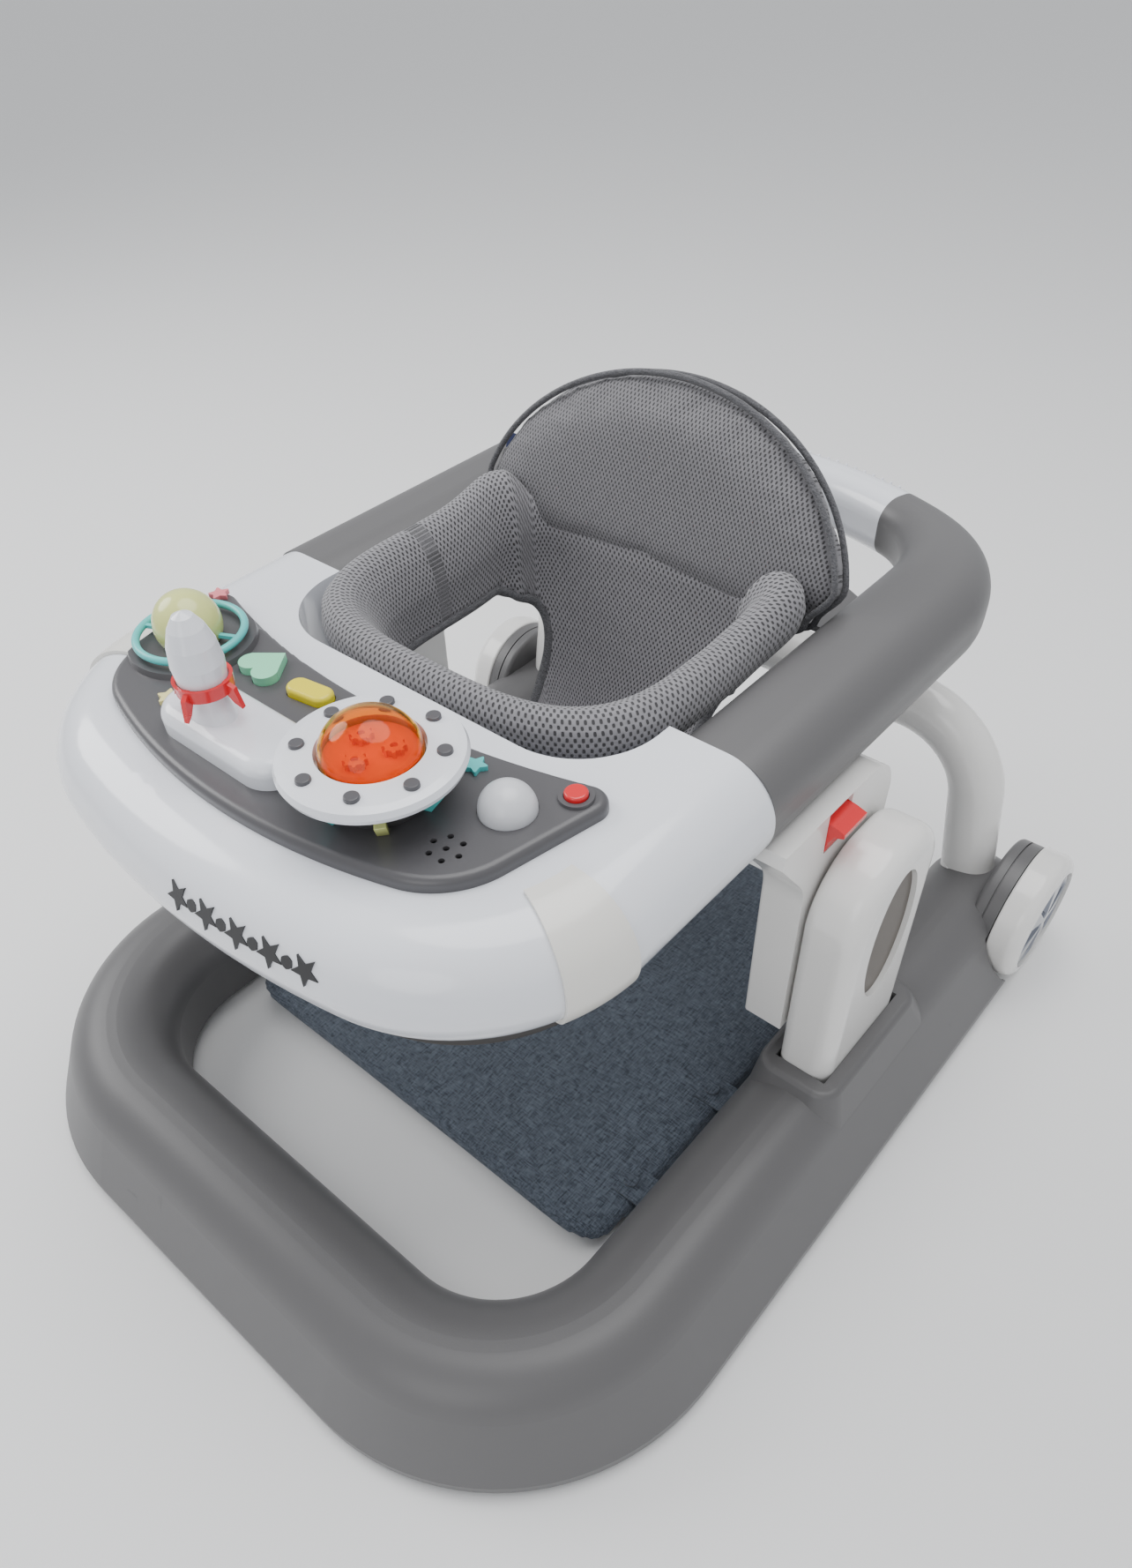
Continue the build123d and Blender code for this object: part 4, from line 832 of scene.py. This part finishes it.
def back_pad(material, piping):
    """The backrest's padded board, with piping round its front and rear edges."""
    turns, rings = 96, 14
    half_depth = BACK_DEPTH / 2
    points = []
    for side in (1, -1):
        for ring in range(rings):
            share = ring / (rings - 1)
            crown = (1 - share ** 5) ** 0.5
            lift = side * (BACK_EDGE + (half_depth - BACK_EDGE) * crown)
            for turn in range(turns):
                u, v = back_outline(2 * math.pi * turn / turns)
                v = BACK_MIDDLE + (v - BACK_MIDDLE) * share
                points.append(back_place(u * share, v, lift - half_depth + BACK_FORWARD))
    pad = make_piece("backrest_pad", points, pad_faces(turns, rings), material, None)
    outward(pad)
    swell(pad, bpy.context.scene.walker_fabric.puff)
    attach(pad, "tray")
    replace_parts(pad, "seat_back")
    for name, side in (("front", 1), ("rear", -1)):
        back_piping(name, side, piping)


def back_piping(name, side, piping):
    """A cord of piping just inside one edge of the backrest."""
    origin, across, up, out = back_frame()
    steps, inside = 160, 0.992
    forward = side * 0.0085 - BACK_DEPTH / 2 + BACK_FORWARD
    run = []
    for step in range(steps):
        u, v = back_outline(2 * math.pi * step / steps)
        wrap = BACK_WRAP * (u / BACK_HALF) ** 2
        run.append(origin + across * u * inside + up * (BACK_MIDDLE + (v - BACK_MIDDLE) * inside)
                   + out * (forward + wrap))
    cord = tube(f"backrest_piping_{name}", run, 0.0024, piping, "tray", closed=True, sides=8)


def star_outline(count, radius, inner):
    """Points of a star; inner is the share of the radius that its notches reach in to."""
    outline = []
    for k in range(2 * count):
        reach = radius * (1 if k % 2 == 0 else inner)
        outline.append((reach * math.sin(math.pi * k / count), reach * math.cos(math.pi * k / count)))
    return outline


def embroidery(material):
    """An arc of small stitched stars across the backrest."""
    count, gap, steps = 7, 0.024, 5
    middle = (count - 1) / 2
    proud = 0.0045
    runs = []
    for index in range(count):
        u = -0.062 + gap * index
        v = 0.064 + 0.012 * (1 - ((index - middle) / middle) ** 2)
        outline = star_outline(5, 0.0105 if index % 2 == 0 else 0.0066, 0.45)
        outline.append(outline[0])
        run = []
        for (ax, ay), (bx, by) in zip(outline, outline[1:]):
            for k in range(steps):
                t = k / steps
                run.append(back_place(u + ax + (bx - ax) * t, v + ay + (by - ay) * t, proud))
        run.append(run[0])
        runs.append(run)
    spacing = bpy.context.scene.walker_fabric.stitch_spacing
    beads("backrest_stars", runs, spacing, (0.0010, 0.0010, 0.0014), material, "tray")


class WALKER_OT_seat(bpy.types.Operator):
    """Sew the seat: bucket, bindings, backrest and its stitching"""
    bl_idname = "walker.seat"
    bl_label = "Seat"

    def execute(self, context):
        fabric = context.scene.walker_fabric
        mesh = air_mesh_material("mesh_bucket", fabric.mesh_dark, fabric.mesh_light, fabric.mesh_pitch)
        back = air_mesh_material("mesh_back", fabric.mesh_dark, tinted(fabric.mesh_light, 0.75),
                                 fabric.mesh_pitch * 0.85, "Object", BACK_LEAN - math.pi / 2)
        binding = heather_material("binding_grey", (0.05, 0.05, 0.055), (0.13, 0.13, 0.14), 0.0008)
        thread = heather_material("thread_white", (0.55, 0.55, 0.57), (0.85, 0.85, 0.87), 0.0006)
        seat_bucket(mesh, binding)
        back_pad(back, binding)
        embroidery(thread)
        return {"FINISHED"}


# ---------------------------------------------------------------- foot mat
MAT_TURNS, MAT_RINGS = 120, 22
MAT_SQUARE = 0.14
MAT_PAST_X, MAT_PAST_Y = 0.006, 0.008


def mat_points():
    """Points of the mat's two sides, ring by ring from the middle to its rounded-square edge."""
    half_x, half_y = (MAT_HIGH.x - MAT_LOW.x) / 2, (MAT_HIGH.y - MAT_LOW.y) / 2
    middle = Vector((0, (MAT_LOW.y + MAT_HIGH.y) / 2, 0))
    points = []
    for side in (1, -1):
        for ring in range(MAT_RINGS):
            share = ring / (MAT_RINGS - 1)
            crown = math.sqrt(max(0.0, 1 - share ** 8))
            level = (MAT_LOW.z + MAT_HIGH.z) / 2 + side * (0.0012 + 0.0022 * crown)
            for turn in range(MAT_TURNS):
                angle = 2 * math.pi * turn / MAT_TURNS
                c, s = math.cos(angle), math.sin(angle)
                x = (half_x + MAT_PAST_X) * share * math.copysign(abs(c) ** MAT_SQUARE, c)
                y = (half_y + MAT_PAST_Y) * share * math.copysign(abs(s) ** MAT_SQUARE, s)
                points.append(middle + Vector((x, y, level)))
    return points


class WALKER_OT_foot_mat(bpy.types.Operator):
    """Pad the foot mat"""
    bl_idname = "walker.foot_mat"
    bl_label = "Foot mat"

    def execute(self, context):
        fabric = context.scene.walker_fabric
        material = heather_material("mat_heather", fabric.mat_dark, fabric.mat_light)
        mat = make_piece("mat_pad", mat_points(), pad_faces(MAT_TURNS, MAT_RINGS), material, None)
        outward(mat)
        swell(mat, 0.0025, voxel=0.0035, pressure=2.0)
        rumple(mat)
        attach(mat, "base")
        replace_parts(mat, "foot_mat")
        return {"FINISHED"}


def rumple(mat):
    """Gives the mat a slack middle and shallow creases, which fade out towards its edge."""
    fade, crease = 0.05, 0.0026
    for v in mat.data.vertices:
        x, y = v.co.x, v.co.y
        edge_x = min(1.0, (MAT_HIGH.x - abs(x)) / fade)
        edge_y = min(1.0, (MAT_HIGH.y - y) / fade, (y - MAT_LOW.y) / fade)
        inside = max(0.0, min(edge_x, edge_y))
        folds = noise.noise(Vector((x * 9, y * 4, 1.7))) * crease
        folds += abs(noise.noise(Vector((x * 14 + y * 9, y * 16, 5.1)))) * -crease
        v.co.z += inside * folds - 0.0006


# ---------------------------------------------------------------- shells and toys
class WALKER_OT_shells(bpy.types.Operator):
    """Finish the moulded shells, the grip's dimples and the tray's motif"""
    bl_idname = "walker.shells"
    bl_label = "Shells"

    def execute(self, context):
        finish_nodes()
        grip_dimples()
        tray_motif()
        return {"FINISHED"}


def grip_dimples():
    """A row of small raised dots along the grip's rear shoulder."""
    bow, shoulder, inset = 0.379, 0.0215, 0.0095
    half_angle, count = math.radians(14.5), 40
    height = GRIP_HIGH.z - 0.0021
    centre_y = GRIP_HIGH.y - bow - shoulder
    reach = bow + shoulder - inset
    run = []
    for k in range(count):
        a = half_angle * (2 * k / (count - 1) - 1)
        run.append(Vector((reach * math.sin(a), centre_y + reach * math.cos(a), height)))
    spacing = bpy.context.scene.walker_shells.dimple_spacing
    material = MATERIALS["white_gloss"]
    beads("grip_dots", [run], spacing, (0.0014, 0.0014, 0.0014), material, "tray")


def tray_front(angle, drop):
    """Point and outward normal on the tray's rounded front; angle is about the tray's front bow."""
    bow = 0.620
    shoulder = 0.038
    centre = Vector((0, TRAY_LOW.y + bow, 0))
    out = Vector((math.sin(angle), -math.cos(angle), 0))
    up = Vector((0, 0, 1))
    normal = out * math.cos(drop) + up * math.sin(drop)
    middle = centre + out * (bow - shoulder) + up * (TRAY_HIGH.z - shoulder)
    return middle + normal * shoulder, normal, out.cross(up) * -1


def tray_motif():
    """A row of plain dark stars and dots on the tray's front."""
    material = moulded("motif_dark", (0.02, 0.02, 0.022), 0.4)
    proud, root = 0.0006, -0.0030
    points, faces = [], []
    for index in range(9):
        angle = math.radians(1.0 + 1.15 * index)
        middle, normal, across = tray_front(angle, math.radians(22))
        upward = normal.cross(across) * -1
        outline = star_outline(5, 0.0098, 0.45) if index % 2 == 0 else star_outline(6, 0.0042, 0.92)
        first, count = len(points), len(outline)
        for lift in (proud, root):
            for ax, ay in outline:
                points.append(middle + across * ax + upward * ay + normal * lift)
        points.append(middle + normal * proud)
        for k in range(count):
            m = (k + 1) % count
            faces.append((first + k, first + m, first + 2 * count))
            faces.append((first + k, first + count + k, first + count + m, first + m))
    piece = make_piece("tray_motif", points, faces, material, "tray")
    shape = bmesh.new()
    shape.from_mesh(piece.data)
    turn_outward(shape, piece.data)
    for polygon in piece.data.polygons:
        polygon.use_smooth = False


def island_of(start):
    """All points joined to start by edges."""
    island, queue = {start: None}, [start]
    while queue:
        v = queue.pop()
        for e in v.link_edges:
            other = e.other_vert(v)
            if other not in island:
                island[other] = None
                queue.append(other)
    return island


def copy_solids(node, pick, name, material):
    """A merged copy of those loose parts of a node whose middle passes pick."""
    shape = bmesh.new()
    shape.from_mesh(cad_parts[node].data)
    bmesh.ops.remove_doubles(shape, verts=shape.verts, dist=1e-6)
    seen, drop = {}, []
    for start in shape.verts:
        if start in seen:
            continue
        island = island_of(start)
        seen.update(island)
        middle = sum((v.co for v in island), Vector()) / len(island)
        if not pick(middle):
            drop += island
    bmesh.ops.delete(shape, geom=drop, context="VERTS")
    mesh = bpy.data.meshes.new(name)
    shape.to_mesh(mesh)
    shape.free()
    mesh.materials.append(material)
    piece = bpy.data.objects.new(name, mesh)
    bpy.context.scene.collection.objects.link(piece)
    edge = piece.modifiers.new("soft_edge", "BEVEL")
    edge.width = 0.0006
    edge.segments = 3
    edge.limit_method = "ANGLE"
    edge.angle_limit = math.radians(40)
    apply_modifiers(piece)
    for polygon in piece.data.polygons:
        polygon.use_smooth = abs(polygon.normal.z) < 0.99
    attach(piece, "tray")
    return piece


class WALKER_OT_toys(bpy.types.Operator):
    """Colour the stars and ribs, one piece for each colour"""
    bl_idname = "walker.toys"
    bl_label = "Toys"

    def execute(self, context):
        pink = moulded("pink_soft", (0.78, 0.22, 0.25), 0.35, subsurface=0.1)
        pale = moulded("pale_yellow", (0.74, 0.68, 0.30), 0.35, subsurface=0.1)
        teal = MATERIALS["turquoise_soft"]
        stars = (("star_pink", pink, lambda m: m.x < -0.15), ("star_pale", pale, lambda m: -0.15 < m.x < 0),
                 ("star_teal", teal, lambda m: m.x > 0))
        for name, material, pick in stars:
            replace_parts(copy_solids("stars", pick, name, material), "stars")

        def is_teal(m):
            angle = math.degrees(math.atan2(m.y - SAUCER.y, m.x - SAUCER.x))
            return round((angle + 100) / 60) % 2 == 0

        ribs = (("ribs_teal", teal, is_teal),
                ("ribs_lime", MATERIALS["lime_gloss"], lambda m: not is_teal(m)))
        for name, material, pick in ribs:
            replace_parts(copy_solids("ufo_ribs", pick, name, material), "ufo_ribs")
        return {"FINISHED"}


# ---------------------------------------------------------------- wheels
class WALKER_OT_hubcaps(bpy.types.Operator):
    """Press the two spoked hubcaps"""
    bl_idname = "walker.hubcaps"
    bl_label = "Hubcaps"

    def execute(self, context):
        spokes = context.scene.walker_shells.spokes
        for side, name in ((1, "left"), (-1, "right")):
            low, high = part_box(f"hubcap_{name}")
            hubcap(name, side, low, high, spokes)
        return {"FINISHED"}


def hubcap(name, side, low, high, spokes):
    """A dished disc whose spokes stand proud between faceted hollows."""
    middle = (low + high) / 2
    radius = (high.z - low.z) / 2
    inner, outer = (low.x, high.x) if side > 0 else (high.x, low.x)
    rings, turns = 26, spokes * 24
    points, faces = [], []
    for ring in range(rings):
        share = ring / (rings - 1)
        for turn in range(turns):
            a = 2 * math.pi * turn / turns
            wave = 0.5 + 0.5 * math.cos(spokes * a)
            spoke = smooth_step(wave, 0.35, 0.62)
            band = smooth_step(share, 0.16, 0.24) * (1 - smooth_step(share, 0.80, 0.88))
            depth = 0.0042 * band * (1 - spoke) + 0.0012 * smooth_step(share, 0.95, 1.0)
            x = outer - side * (depth + 0.0008 * share) + side * 0.0012 * (1 - share)
            reach = radius * share
            points.append((x, middle.y + reach * math.cos(a), middle.z + reach * math.sin(a)))
    for ring in range(rings - 1):
        for turn in range(turns):
            after = (turn + 1) % turns
            faces.append((ring * turns + turn, (ring + 1) * turns + turn,
                          (ring + 1) * turns + after, ring * turns + after))
    back = len(points)
    for turn in range(turns):
        a = 2 * math.pi * turn / turns
        points.append((inner, middle.y + radius * math.cos(a), middle.z + radius * math.sin(a)))
    edge = (rings - 1) * turns
    for turn in range(turns):
        after = (turn + 1) % turns
        faces.append((edge + turn, back + turn, back + after, edge + after))
    faces.append(tuple(back + turn for turn in range(turns)))
    piece = make_piece(f"hubcap_dish_{name}", points, faces, chrome_material(), f"wheel_{name}")
    outward(piece)
    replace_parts(piece, f"hubcap_{name}")


# ---------------------------------------------------------------- stage
class WALKER_OT_stage(bpy.types.Operator):
    """Lay the floor and set the lights and the camera"""
    bl_idname = "walker.stage"
    bl_label = "Stage"

    def execute(self, context):
        stage = context.scene.walker_stage
        lay_floor()
        set_lights(stage)
        set_camera(stage)
        return {"FINISHED"}


def lay_floor():
    """A wide pale floor."""
    material = bpy.data.materials.new("pale_floor")
    material.use_nodes = True
    shader = material.node_tree.nodes["Principled BSDF"]
    shader.inputs["Base Color"].default_value = (0.86, 0.86, 0.86, 1)
    shader.inputs["Roughness"].default_value = 0.9
    reach = 12.0
    mesh = bpy.data.meshes.new("floor")
    mesh.from_pydata([(-reach, -reach, 0), (reach, -reach, 0), (reach, reach, 0), (-reach, reach, 0)], [],
                     [(0, 1, 2, 3)])
    mesh.materials.append(material)
    floor = bpy.data.objects.new("floor", mesh)
    bpy.context.scene.collection.objects.link(floor)


def set_lights(stage):
    """A soft sky and three round lamps, each aimed at the middle of the walker."""
    world = bpy.data.worlds.new("studio")
    bpy.context.scene.world = world
    world.use_nodes = True
    background = world.node_tree.nodes["Background"]
    background.inputs[0].default_value = (0.95, 0.97, 1.0, 1)
    background.inputs[1].default_value = 0.74
    aim = Vector((0, 0, 0.3))
    key_power = stage.light * 2.2
    lamps = (("overhead", (0.1, 0.3, 2.2), 1.8, 1.0), ("left_window", (-2.0, -0.6, 1.7), 1.4, 0.9),
             ("front_fill", (0.8, -2.4, 1.4), 1.6, 0.35))
    for name, place, size, share in lamps:
        data = bpy.data.lights.new(name, "AREA")
        data.shape = "DISK"
        data.size = size
        data.energy = key_power * share
        lamp = bpy.data.objects.new(name, data)
        lamp.location = place
        lamp.rotation_euler = (aim - Vector(place)).to_track_quat("-Z", "Y").to_euler()
        bpy.context.scene.collection.objects.link(lamp)


def set_camera(stage):
    """The camera at the viewing angle of the settings."""
    data = bpy.data.cameras.new("camera")
    data.lens = stage.lens
    data.sensor_width = 36.0
    data.shift_y = stage.shift
    data.clip_start = 0.01
    camera = bpy.data.objects.new("camera", data)
    turn = Matrix.Rotation(stage.heading, 4, "Z")
    tilt = Matrix.Rotation(math.pi / 2 - stage.look_down, 4, "X")
    roll = Matrix.Rotation(stage.roll, 4, "Z")
    camera.matrix_world = Matrix.Translation(Vector(stage.place)) @ turn @ tilt @ roll
    bpy.context.scene.collection.objects.link(camera)
    bpy.context.scene.camera = camera


# ---------------------------------------------------------------- panel and registration
class WALKER_PT_pieces(bpy.types.Panel):
    """Shows the walker's settings and a button for each building step"""
    bl_idname = "WALKER_PT_pieces"
    bl_label = "Baby Walker"
    bl_space_type = "VIEW_3D"
    bl_region_type = "UI"
    bl_category = "Walker"

    def draw(self, context):
        scene = context.scene
        for settings in (scene.walker_fabric, scene.walker_shells, scene.walker_stage):
            box = self.layout.box()
            for name in settings.__annotations__:
                box.prop(settings, name)
        for operator in OPERATORS:
            self.layout.operator(operator.bl_idname)


OPERATORS = (WALKER_OT_stage, WALKER_OT_shells, WALKER_OT_toys, WALKER_OT_hubcaps, WALKER_OT_seat,
             WALKER_OT_foot_mat)
CLASSES = (WalkerFabric, WalkerShells, WalkerStage, *OPERATORS, WALKER_PT_pieces)


def register():
    for cls in CLASSES:
        bpy.utils.register_class(cls)
    bpy.types.Scene.walker_fabric = bpy.props.PointerProperty(type=WalkerFabric)
    bpy.types.Scene.walker_shells = bpy.props.PointerProperty(type=WalkerShells)
    bpy.types.Scene.walker_stage = bpy.props.PointerProperty(type=WalkerStage)


def unregister():
    for name in ("walker_fabric", "walker_shells", "walker_stage"):
        delattr(bpy.types.Scene, name)
    for cls in reversed(CLASSES):
        bpy.utils.unregister_class(cls)


def main():
    """Builds every piece in order."""
    register()
    for operator in OPERATORS:
        group_name, call = operator.bl_idname.split(".")
        getattr(getattr(bpy.ops, group_name), call)()


if __name__ == "__main__":
    main()
